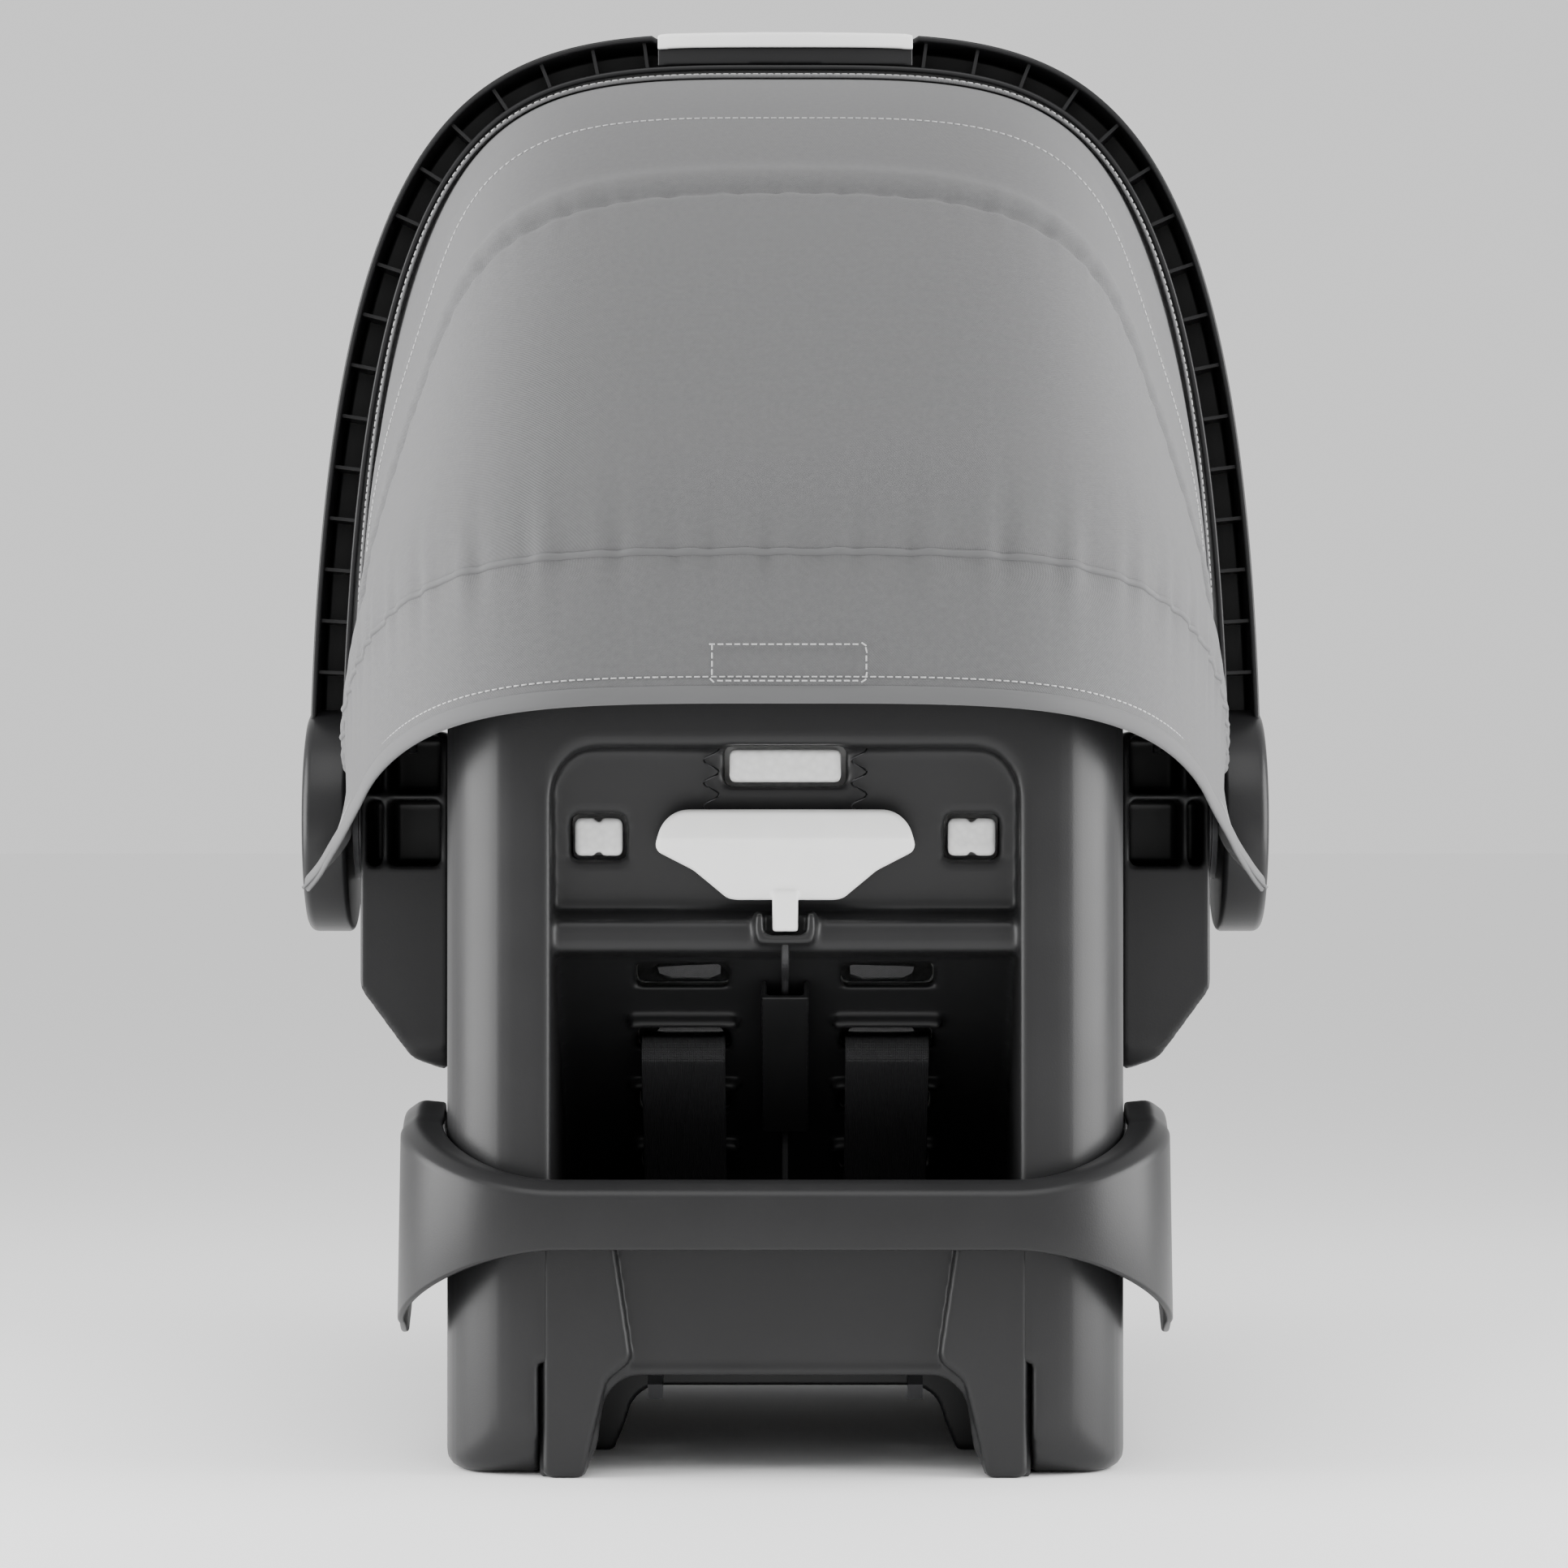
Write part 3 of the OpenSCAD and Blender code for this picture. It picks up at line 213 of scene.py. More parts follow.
FINISH = {
    "shell_black": plastic("shell_black", (0.011, 0.011, 0.0115), 0.36),
    "handle_black": plastic("handle_black", (0.008, 0.008, 0.0085), 0.34),
    "soft_white": plastic("soft_white", (0.8, 0.8, 0.79), 0.4, 0.00003),
    "button_grey": plastic("button_grey", (0.07, 0.07, 0.074), 0.45),
    "foam_white": foam_finish("foam_white"),
    "canopy_fabric": cloth_finish("canopy_fabric", (0.075, 0.075, 0.077), (0.125, 0.125, 0.127),
                                  0.0011, True),
    "pad_fabric": cloth_finish("pad_fabric", (0.12, 0.12, 0.124), (0.24, 0.24, 0.244), 0.0016, False),
    "webbing_black": webbing_finish("webbing_black", (0.014, 0.014, 0.015)),
    "buckle_black": plastic("buckle_black", (0.018, 0.018, 0.019), 0.5),
    "button_red": plastic("button_red", (0.42, 0.04, 0.035), 0.38),
    "steel": metal("steel", (0.5, 0.51, 0.53)),
    "dark_steel": metal("dark_steel", (0.05, 0.05, 0.052)),
    "thread": cloth_finish("thread", (0.4, 0.4, 0.4), (0.55, 0.55, 0.55), 0.0006, False),
}
print("finishes", len(FINISH))

# %% [markdown]
# ## Making meshes
# Points are given in millimetres. A finished piece sits at the origin with its place in its mesh.

# %% Mesh helpers
def piece(name, points, faces, finish, body=None, replaces=()):
    mesh = bpy.data.meshes.new(name)
    mesh.from_pydata((np.asarray(points, float) * MM).tolist(), [], [list(map(int, f)) for f in faces])
    mesh.update()
    return dress(link(name, mesh), finish, body, replaces)


def link(name, mesh):
    obj = bpy.data.objects.new(name, mesh)
    bpy.context.scene.collection.objects.link(obj)
    return obj


def dress(obj, finish, body=None, replaces=()):
    obj.data.materials.clear()
    obj.data.materials.append(FINISH[finish])
    obj.data.polygons.foreach_set("use_smooth", [True] * len(obj.data.polygons))
    if body:
        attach(obj, body)
    if replaces:
        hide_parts(*replaces)
    finish in frame_slots
    return obj


frame_slots = set(FINISH) - {"thread"}


def apply_modifiers(obj):
    depsgraph = bpy.context.evaluated_depsgraph_get()
    mesh = bpy.data.meshes.new_from_object(obj.evaluated_get(depsgraph), depsgraph=depsgraph)
    obj.modifiers.clear()
    obj.data = mesh
    return obj


def thin_out(obj, triangles):
    count = sum(len(p.vertices) - 2 for p in obj.data.polygons)
    if count > triangles:
        modifier = obj.modifiers.new("thin", "DECIMATE")
        modifier.ratio = triangles / count
        apply_modifiers(obj)
    return obj


def relax(mesh, passes):
    """Rounds edges without shrinking the piece: each pull inwards is followed by a push back out."""
    count = len(mesh.vertices)
    points = np.zeros(count * 3)
    mesh.vertices.foreach_get("co", points)
    points = points.reshape(-1, 3)
    edges = np.zeros(len(mesh.edges) * 2, int)
    mesh.edges.foreach_get("vertices", edges)
    a, b = edges.reshape(-1, 2).T
    degree = np.maximum(np.bincount(edges, minlength=count), 1)[:, None]
    for factor in [0.5, -0.52] * passes:
        total = np.stack([np.bincount(a, points[b, k], count) + np.bincount(b, points[a, k], count)
                          for k in range(3)], 1)
        points += factor * (total / degree - points)
    mesh.vertices.foreach_set("co", points.ravel())
    mesh.update()


# %% [markdown]
# ## Softening a CAD part
# Small mouldings are right in shape but have knife edges, which no mould gives. A copy of the
# part is rebuilt from small voxels and relaxed, so every edge gets the radius of a real tool.

# %% Softened copies
def soften(node, voxel, passes, body, finish, triangles=60000):
    obj = link(node + "_moulded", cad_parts[node].data.copy())
    weld = obj.modifiers.new("weld", "WELD")
    weld.merge_threshold = 0.00001
    remesh = obj.modifiers.new("remesh", "REMESH")
    remesh.mode = "VOXEL"
    remesh.voxel_size = voxel * MM
    apply_modifiers(obj)
    relax(obj.data, passes)
    thin_out(obj, triangles)
    return dress(obj, finish, body, [node])


# %% [markdown]
# ## Moulding from distances
# The large shells have generous blends where one face rolls into the next. Each shape is written
# as a distance: negative inside, positive outside. Two distances are joined with a rounded corner,
# and the skin where the result is zero is walked by the surface nets method.

# %% Outlines with round corners
def outline(corners, steps=10):
    points = []
    count = len(corners)
    for i, (x, y, r) in enumerate(corners):
        b = np.array([x, y], float)
        if r <= 0:
            points.append(b)
            continue
        to_a = np.array(corners[i - 1][:2], float) - b
        to_c = np.array(corners[(i + 1) % count][:2], float) - b
        u, w = to_a / np.linalg.norm(to_a), to_c / np.linalg.norm(to_c)
        half = math.acos(np.clip(u @ w, -1, 1)) / 2
        middle = b + (u + w) / np.linalg.norm(u + w) * r / math.sin(half)
        p0, p1 = b + u * r / math.tan(half), b + w * r / math.tan(half)
        a0 = math.atan2(*(p0 - middle)[::-1])
        turn = (math.atan2(*(p1 - middle)[::-1]) - a0 + math.pi) % (2 * math.pi) - math.pi
        for k in range(steps + 1):
            a = a0 + turn * k / steps
            points.append(middle + r * np.array([math.cos(a), math.sin(a)]))
    return np.array(points)


def both_sides(half):
    return half + [(-x, y, r) for x, y, r in reversed(half)]


def distance(u, v, shape):
    """Signed distance from a grid of places to a closed outline."""
    u, v = np.meshgrid(u, v, indexing="ij")
    nearest = np.full(u.shape, 1e9)
    inside = np.zeros(u.shape, bool)
    for (ax, ay), (bx, by) in zip(shape, np.roll(shape, -1, axis=0)):
        ex, ey = bx - ax, by - ay
        share = np.clip(((u - ax) * ex + (v - ay) * ey) / max(ex * ex + ey * ey, 1e-9), 0, 1)
        nearest = np.minimum(nearest, (u - ax - share * ex) ** 2 + (v - ay - share * ey) ** 2)
        if ey:
            inside ^= ((ay > v) != (by > v)) & (u < ex * (v - ay) / ey + ax)
    return (np.where(inside, -1, 1) * np.sqrt(nearest)).astype(np.float32)


def both(a, b, r):
    """What lies in a and in b, with the corner between them rounded to r."""
    return np.minimum(np.maximum(a, b), -r) + np.hypot(np.maximum(a + r, 0), np.maximum(b + r, 0))


def either(a, b, r):
    return -both(-a, -b, r)


class Block:
    """A grid of places, with a distance field for prisms along each axis."""

    def __init__(self, low, high, cell):
        self.axis = [np.arange(l - 2 * cell, h + 3 * cell, cell) for l, h in zip(low, high)]
        self.cell = cell

    def along_x(self, shape):
        return distance(self.axis[1], self.axis[2], shape)[None, :, :]

    def along_y(self, shape):
        return distance(self.axis[0], self.axis[2], shape)[:, None, :]

    def along_z(self, shape):
        return distance(self.axis[0], self.axis[1], shape)[:, :, None]

    def span(self, k, low, high):
        d = np.abs(self.axis[k] - (low + high) / 2) - (high - low) / 2
        return d.reshape([-1 if i == k else 1 for i in range(3)]).astype(np.float32)

    def brick(self, low, high, r=1.0):
        return both(both(self.span(0, low[0], high[0]), self.span(1, low[1], high[1]), r),
                    self.span(2, low[2], high[2]), r)


# %% Surface nets
def skin(block, field):
    """Points and quads of the surface where the field is zero, facing outwards."""
    shape = tuple(len(a) for a in block.axis)
    f = np.ascontiguousarray(np.broadcast_to(field, shape), np.float32)
    f = np.where(np.abs(f) < 1e-5, np.float32(1e-5), f)
    inside = f < 0
    corners = [(i, j, k) for i in (0, 1) for j in (0, 1) for k in (0, 1)]
    filled = sum(inside[i:shape[0] - 1 + i, j:shape[1] - 1 + j, k:shape[2] - 1 + k].astype(np.int8)
                 for i, j, k in corners)
    cells = np.argwhere((filled > 0) & (filled < 8))
    index = np.full(filled.shape, -1, np.int64)
    index[tuple(cells.T)] = np.arange(len(cells))
    total, hits = np.zeros((len(cells), 3)), np.zeros(len(cells))
    for a in corners:
        for k in range(3):
            if a[k]:
                continue
            b = tuple(1 if i == k else a[i] for i in range(3))
            fa, fb = f[tuple((cells + a).T)], f[tuple((cells + b).T)]
            cross = (fa < 0) != (fb < 0)
            place_on = np.tile(np.array(a, float), (cross.sum(), 1))
            place_on[:, k] = fa[cross] / (fa[cross] - fb[cross])
            total[cross] += place_on
            hits[cross] += 1
    points = cells + total / hits[:, None]
    points = np.stack([block.axis[k][0] + points[:, k] * block.cell for k in range(3)], 1)
    quads = []
    for d in range(3):
        e1, e2 = (d + 1) % 3, (d + 2) % 3
        low = [slice(1, n - 1) for n in shape]
        low[d] = slice(0, shape[d] - 1)
        high = list(low)
        high[d] = slice(1, shape[d])
        start = np.array([s.start for s in low])
        for here_in in (True, False):
            here = np.argwhere((inside[tuple(low)] == here_in) & (inside[tuple(high)] != here_in)) + start
            step1, step2 = np.eye(3, dtype=int)[e1], np.eye(3, dtype=int)[e2]
            ring = [here - step1 - step2, here - step2, here, here - step1]
            quad = np.stack([index[tuple(r.T)] for r in ring], 1)
            quads.append(quad if here_in else quad[:, ::-1])
    return points, np.concatenate(quads)


def mould(name, block, field, finish, body, replaces=(), triangles=190000, passes=2):
    points, quads = skin(block, field)
    mesh = bpy.data.meshes.new(name)
    mesh.vertices.add(len(points))
    mesh.vertices.foreach_set("co", (points * MM).ravel())
    mesh.loops.add(quads.size)
    mesh.loops.foreach_set("vertex_index", quads.ravel().astype(np.int32))
    mesh.polygons.add(len(quads))
    mesh.polygons.foreach_set("loop_start", np.arange(0, quads.size, 4, dtype=np.int32))
    mesh.update(calc_edges=True)
    relax(mesh, passes)
    obj = thin_out(link(name, mesh), triangles)
    print(name, len(obj.data.vertices), "points")
    return dress(obj, finish, body, replaces)


# %% [markdown]
# ## The shell
# One deep moulding with two round columns behind, a hollow back between them and a rolled rim.
# The columns catch the studio light along their whole height, so their curves must be exact.

# %% Shell outlines
COLUMN, SIDE, RECESS = 133.2, 142.7, 91.7
REAR, FOOT, FLOOR = -272.0, 288.0, 45.0
FOOT_LIP = 8
RIM = [(-380, 372, 0), (-288, 351, 60), (-60, 291, 300), (170, 262, 400), (298, 272, 60), (400, 282, 0)]
SEAT = [(-268, 400, 0), (-260, 330, 60), (-205, 225, 90), (-95, 110, 70), (-15, 68, 60), (60, 72, 80),
        (180, 120, 90), (258, 200, 60), (276, 400, 0)]
SLOT_X, SLOT_Z = 41.3, (196, 169, 142, 115)
WINDOW_X, WINDOW_Z = 73.7, 251


def under_rim(drop, floor=-60):
    return outline([(y, z - drop, r) for y, z, r in RIM] + [(400, floor, 0), (-400, floor, 0)])


def hull_side():
    return outline([(REAR, 0, 26), (60, 0, 160), (FOOT, 178, 50), (FOOT, 420, 0), (REAR, 420, 0)])


def shell_plan(grow):
    return outline(both_sides([(COLUMN + grow, REAR - grow, max(44 + grow, 4)), (SIDE + grow, -40, 200),
                               (SIDE - 3 + grow, 150, 300),
                               (SIDE - 34 + grow, FOOT + grow, 70 + grow)]), 18)


def rim_plan(grow):
    reach = 22 + grow
    return outline(both_sides([(COLUMN + 12.1 + grow, REAR - 16 - grow, 60 + grow),
                               (SIDE + reach, -40, 200), (SIDE + reach - 3, 150, 300),
                               (SIDE + reach - 34, FOOT + reach + FOOT_LIP, 92 + grow)]), 18)


def slot_hole(block, side, z, half=19, high=4.5, r=1.0):
    """The way of a shoulder strap through the back."""
    x = side * SLOT_X
    return block.brick((x - half, -400, z - high), (x + half, -40, z + high), r)


def moved(path, d):
    """An open path moved sideways by d, with its corners kept concentric."""
    result = []
    for i, (x, y, r) in enumerate(path):
        p = [np.array(q[:2], float) for q in path]
        a = p[min(i + 1, len(p) - 1)] - p[min(i, len(p) - 2)]
        b = p[max(i, 1)] - p[max(i - 1, 0)]
        a, b = a / np.linalg.norm(a), b / np.linalg.norm(b)
        na, nb = np.array([-a[1], a[0]]), np.array([-b[1], b[0]])
        q = p[i] + (na + nb) / (1 + na @ nb) * d
        turn = b[0] * a[1] - b[1] * a[0]
        result.append((q[0], q[1], max(r - np.sign(turn) * d, 3) if r > 0 else 0))
    return result


def seat_hollow(block, inset, r):
    """The space where the child sits, drawn in by inset from the foam's face."""
    return both(block.along_x(outline(moved(SEAT, inset))), block.along_z(shell_plan(-14 - inset)), r)


# %% Shell
def recess(block):
    side = outline([(-400, 287, 0), (-260, 287, 5), (-248, 222, 4), (-264, 218, 3), (-264, 206, 3),
                    (-232, 203, 5), (-118, 108, 60), (-56, FLOOR, 0), (-400, FLOOR, 0)])
    front = outline([(-RECESS, -10, 0), (-RECESS, 287, 20), (RECESS, 287, 20), (RECESS, -10, 0)])
    return both(block.along_x(side), block.along_y(front), 2.5)


def panel_y(z):
    """How far back the sloping panel stands at a height."""
    return -232 + (203 - z) * 114 / 95


def back_details(block, field):
    for z in SLOT_Z[1:]:
        for side in (-1, 1):
            y = panel_y(z + 7)
            hood = block.brick((side * SLOT_X - 22, y - 7, z + 4), (side * SLOT_X + 22, y + 12, z + 9), 2)
            field = either(field, hood, 2)
    notch = block.along_y(outline([(-12, 222, 0), (-12, 209, 4), (12, 209, 4), (12, 222, 0)]))
    cup = both(notch, block.span(1, -269, -258), 1.5)
    field = either(field, cup, 2)
    inner = block.along_y(outline([(-8.5, 230, 0), (-8.5, 212.5, 3), (8.5, 212.5, 3), (8.5, 230, 0)]))
    return both(field, -both(inner, block.span(1, -275, -258.5), 1), 1)


def shell_rim(block):
    lip = both(block.along_z(rim_plan(0)), block.along_x(under_rim(0)), 2.5)
    lip = np.maximum(lip, -block.along_x(under_rim(16)))
    lip = np.maximum(lip, -block.along_z(shell_plan(-2)))
    hollow = np.maximum(block.along_z(rim_plan(-4)), block.along_x(under_rim(4)))
    hollow = np.maximum(hollow, -block.along_z(shell_plan(-0.5)))
    return np.maximum(both(lip, -hollow, 0.5), -block.span(1, -96, 96))


def make_shell():
    cell = 2.0
    block = Block((-166, -290, 0), (166, 320, 352), cell)
    field = both(block.along_x(hull_side()), block.along_z(shell_plan(0)), 7)
    field = both(field, block.along_x(under_rim(0)), 2)
    field = both(field, -recess(block), 5)
    field = back_details(block, field)
    tunnel = np.maximum(block.span(0, -RECESS - 5, RECESS + 5), block.span(2, -60, FLOOR))
    field = both(field, -tunnel, 1.5)
    field = both(field, -seat_hollow(block, -9.5, 4), 1)
    for z in SLOT_Z:
        for side in (-1, 1):
            field = both(field, -slot_hole(block, side, z, r=2), 1.5)
    for x, z, w, h in ((-WINDOW_X, WINDOW_Z, 11, 9), (WINDOW_X, WINDOW_Z, 11, 9), (0, 279, 24, 8)):
        field = both(field, -block.brick((x - w, -400, z - h), (x + w, -212, z + h), 2), 1)
    field = either(field, shell_rim(block), 1)
    return mould("shell_moulding", block, field, "shell_black", "shell", ["seat_shell"])


make_shell()

# %% [markdown]
# ## The bottom pan
# It closes the underside between the columns. Its rear wall has two legs that stand proud of a
# recessed panel, and an arch that clears the base when the seat is docked.

# %% Bottom pan
def arch_wall(block, y, top, foot_x, top_x, inner, ceiling, r):
    face = outline([(-foot_x, 0, 3), (-foot_x, 44, 0), (-top_x, 44, 0), (-top_x, top, 0), (top_x, top, 0),
                    (top_x, 44, 0), (foot_x, 44, 0), (foot_x, 0, 3), (inner, 0, 2), (inner - 5, 12, 6),
                    (inner - 9, ceiling, r), (9 - inner, ceiling, r), (5 - inner, 12, 6), (-inner, 0, 2)])
    return both(block.along_y(face), block.span(1, y, y + 3.5), 1)


def make_pan():
    block = Block((-97, -272, 0), (97, 118, 100), 1.3)
    field = arch_wall(block, -264, 100, 96.2, 91.2, 78.9, 40, 16)
    field = either(field, arch_wall(block, -180, 44.5, 96.2, 91.2, 70.2, 26.4, 14), 1)
    field = either(field, block.brick((-96.2, -264, 40), (96.2, 118, 43.5)), 1)
    for side in (-1, 1):
        leg = outline([(side * x, z, r) for x, z, r in
                       ((95, 0, 4), (95, 100, 2), (68, 100, 2), (60, 46, 6), (70, 38, 8), (76, 14, 8),
                        (79, 0, 3))])
        field = either(field, both(block.along_y(leg), block.span(1, -269.5, -262), 2.5), 1)
        x0, x1 = sorted((side * 92.7, side * 96.2))
        field = either(field, block.brick((x0, -264, 0), (x1, 56, 43.5)), 1)
        p0, p1 = sorted((side * 87.7, side * 91.2))
        field = either(field, block.brick((p0, -224, 40), (p1, -200, 72)), 1)
        h0, h1 = sorted((side * 47, side * 57))
        field = both(field, -block.brick((h0, -238, 20), (h1, -188, 45), 1), 0.6)
    field = both(field, -block.brick((-19, -110, 38), (19, -98, 46), 1), 0.6)
    return mould("pan_moulding", block, field, "shell_black", "shell", ["bottom_pan"], 160000)


make_pan()

# %% [markdown]
# ## The guard band
# A rolled lip round the columns that falls into a fin on each side. It is lofted: one rounded
# section is carried along the path and changes a little at every station.

# %% Loft
def loft(rings, closed_ring=True):
    rings = np.asarray(rings)
    n, m = rings.shape[:2]
    faces = [(i * m + j, i * m + (j + 1) % m, (i + 1) * m + (j + 1) % m, (i + 1) * m + j)
             for i in range(n - 1) for j in range(m if closed_ring else m - 1)]
    if closed_ring:
        faces += [tuple(range(m))[::-1], tuple((n - 1) * m + j for j in range(m))]
    return rings.reshape(-1, 3), faces


def outward(obj):
    work = bmesh.new()
    work.from_mesh(obj.data)
    bmesh.ops.recalc_face_normals(work, faces=work.faces)
    work.to_mesh(obj.data)
    work.free()
    return obj


# %% Guard band
def side_at(y):
    return COLUMN + (SIDE - COLUMN) * (y - REAR) / (-40 - REAR)


def band_path():
    reach = 19.2
    corner = outline([(0, REAR - reach, 0), (COLUMN + reach, REAR - reach, 63),
                      (SIDE + reach, -40, 0)], 30)[1:-1]
    straight = [(x, REAR - reach) for x in np.linspace(0, corner[0][0], 24)[:-1]]
    sides = [(side_at(y) + reach, y) for y in np.linspace(corner[-1][1], -70, 30)[1:]]
    return np.array(straight + corner.tolist() + sides)


def band_ring(p, inward, s):
    fall = min(max((s - 0.25) / 0.4, 0), 1)
    shut = max((s - 0.65) / 0.35, 0)
    drop = fall * fall * (3 - 2 * fall)
    top = 118 + 26 * drop - 40 * shut
    low = 91 - 41 * drop + 24 * shut
    section = outline([(18, top - 1, 1.5), (8, top, 7), (1.2, top - 5, 5), (0, low, 1.2), (3, low, 1.2),
                       (4.5, top - 8, 4), (9, top - 4.5, 4), (18, top - 5, 1.5)], 4)
    return [(p[0] + inward[0] * q, p[1] + inward[1] * q, z) for q, z in section]


def make_band():
    path = band_path()
    run = np.gradient(path, axis=0)
    run /= np.linalg.norm(run, axis=1)[:, None]
    lengths = np.concatenate([[0], np.cumsum(np.linalg.norm(np.diff(path, axis=0), axis=1))])
    half = [band_ring(p, (-r[1], r[0]), s) for p, r, s in zip(path, run, lengths / lengths[-1])]
    other = [[(-x, y, z) for x, y, z in ring] for ring in half[:0:-1]]
    points, faces = loft(other + half)
    return outward(piece("guard_band", points, faces, "shell_black", "shell", ["rear_guard_band"]))


make_band()

# %% [markdown]
# ## Small mouldings
# Pods, guides, buckle, clips and the adjuster keep their CAD shape, with real edge radii.
# The voxel is a fraction of the thinnest wall, so no feature is lost.

# %% Small mouldings
for node, voxel, passes, finish in (
        ("pod_left", 1.5, 6, "shell_black"), ("pod_right", 1.5, 6, "shell_black"),
        ("belt_guide_left", 0.8, 4, "shell_black"), ("belt_guide_right", 0.8, 4, "shell_black"),
        ("cable_cover", 0.6, 3, "shell_black"), ("buckle_body", 0.6, 5, "buckle_black"),
        ("chest_clip_left", 0.6, 4, "buckle_black"), ("chest_clip_right", 0.6, 4, "buckle_black"),
        ("adjuster_housing", 0.7, 4, "buckle_black"), ("buckle_tongue_left", 0.5, 3, "steel"),
        ("buckle_tongue_right", 0.5, 3, "steel"), ("splitter_plate", 0.6, 3, "steel")):
    soften(node, voxel, passes, "shell", finish)
soften("grip_cover", 0.8, 14, "handle", "soft_white")
soften("grip_insert", 0.8, 10, "handle", "handle_black")

# %% [markdown]
# ## Webbing
# Straps are flat woven tape. They are modelled directly, because a simulation would lose them.

# %% Webbing
for node in ("shoulder_strap_left", "shoulder_strap_right", "hip_strap_left", "hip_strap_right",
             "crotch_strap", "adjuster_strap"):
    soften(node, 0.6, 8, "shell", "webbing_black", 50000)

# %% [markdown]
# ## The release lever
# A pale squeeze lever: a domed cap over a ridge, and a scoop below it for the fingers.

# %% Release lever
def make_lever():
    block = Block((-52, -272, 213), (52, -259, 263), 0.7)
    face = outline(both_sides([(21, 225.5, 9), (36, 238, 14), (51.5, 246, 4), (47, 262, 13)]), 12)
    side = outline([(-271, 250, 2), (-268.5, 263, 4), (-261, 263, 0), (-256, 226, 0), (-263.5, 226, 1.5),
                    (-266.5, 236, 12), (-269.4, 247.5, 1)])
    wall = outline([(-260.8, 300, 0), (-250.6, 222, 0), (-200, 222, 0), (-200, 300, 0)])
    field = both(block.along_y(face), block.along_x(side), 1.8)
    field = either(field, block.brick((-5, -267.5, 214), (5, -263, 230), 1), 1)
    field = both(field, -block.along_x(wall), 0.4)
    return mould("lever_moulding", block, field, "soft_white", "release_lever", ["release_lever"], 60000)


make_lever()

# %% [markdown]
# ## Foam
# A liner of expanded beads lies behind the pad. Its lugs show through the windows in the back.

# %% Foam liner and its lugs
def make_foam():
    block = Block((-140, -270, 58), (140, 276, 344), 3.0)
    field = both(seat_hollow(block, -9.2, 4), -seat_hollow(block, 0, 4), 1)
    field = np.maximum(field, block.along_x(under_rim(4)))
    for z in SLOT_Z:
        for side in (-1, 1):
            field = np.maximum(field, -slot_hole(block, side, z))
    return mould("foam_moulding", block, field, "foam_white", "shell", ["foam_liner"], 120000)


def make_lugs():
    block = Block((-86, -262, 240), (86, -222, 288), 1.0)
    field = block.brick((-22, -258.5, 272.6), (22, -225, 285.6), 2.5)
    for side in (-1, 1):
        x = side * WINDOW_X
        lug = block.brick((x - 9.4, -252.5, 243.6), (x + 9.4, -225, 258.4), 2.5)
        for z in (243, 259):
            lug = both(lug, -block.brick((x - 1.5, -260, z - 2), (x + 1.5, -240, z + 2), 0.6), 0.5)
        field = np.minimum(field, lug)
    return mould("foam_lugs", block, field, "foam_white", "shell", triangles=60000)


make_foam()
make_lugs()

# %% [markdown]
# ## Repeats along a line
# Stitches and ribs are one small shape set again and again along a path. Geometry Nodes place
# them, so a change of pitch changes the whole row.

# %% The tree that repeats
def repeat_tree(name, shape, size, pitch, finish):
    group = bpy.data.node_groups.new(name, "GeometryNodeTree")
    group.interface.new_socket("Geometry", in_out="INPUT", socket_type="NodeSocketGeometry")
    for label in ("Pitch", "Width", "Depth", "Length"):
        group.interface.new_socket(label, in_out="INPUT", socket_type="NodeSocketFloat")
    group.interface.new_socket("Geometry", in_out="OUTPUT", socket_type="NodeSocketGeometry")
    tree = Tree(group)
    entry = group.nodes.new("NodeGroupInput")
    given = {s.name: Value(tree, s) for s in entry.outputs if s.name}
    curve = tree.add("GeometryNodeMeshToCurve", None, {"Mesh": given["Geometry"]})
    spaced = tree.add("GeometryNodeResampleCurve", {"mode": "LENGTH"},
                      {"Curve": curve, "Length": given["Pitch"]})
    tangent = tree.add("GeometryNodeInputTangent")
    turned = tree.add("FunctionNodeAlignRotationToVector", {"axis": "Z"}, {"Vector": tangent})
    if shape == "rib":
        scale = tree.add("ShaderNodeCombineXYZ", None,
                         {0: given["Width"], 1: given["Depth"], 2: given["Length"]})
        unit = tree.add("GeometryNodeMeshCube", None, {"Size": scale})
    else:
        unit = tree.add("GeometryNodeMeshCylinder", None,
                        {"Vertices": 6, "Radius": given["Width"], "Depth": given["Length"]})
    placed = tree.add("GeometryNodeInstanceOnPoints", None,
                      {"Points": spaced, "Instance": unit, "Rotation": turned})
    real = tree.add("GeometryNodeRealizeInstances", None, {"Geometry": placed})
    done = tree.add("GeometryNodeSetMaterial", None, {"Geometry": real, "Material": FINISH[finish]})
    leave = group.nodes.new("NodeGroupOutput")
    group.links.new(done.socket, leave.inputs["Geometry"])
    values = {"Pitch": pitch, "Width": size[0], "Depth": size[1], "Length": size[2]}
    return group, values


def repeat(name, lines, shape, size, pitch, finish):
    """lines are lists of points in millimetres; size is width, depth and length along the line."""
    points, edges = [], []
    for line in lines:
        start = len(points)
        points += [tuple(np.asarray(p) * MM) for p in line]
        edges += [(i, i + 1) for i in range(start, len(points) - 1)]
    mesh = bpy.data.meshes.new(name)
    mesh.from_pydata(points, edges, [])
    obj = link(name, mesh)
    group, values = repeat_tree(name, shape, [s * MM for s in size], pitch * MM, finish)
    modifier = obj.modifiers.new("repeat", "NODES")
    modifier.node_group = group
    for item in group.interface.items_tree:
        if item.in_out == "INPUT" and item.name in values:
            modifier[item.identifier] = values[item.name]
    apply_modifiers(obj)
    obj.data.polygons.foreach_set("use_smooth", [shape != "rib"] * len(obj.data.polygons))
    return obj


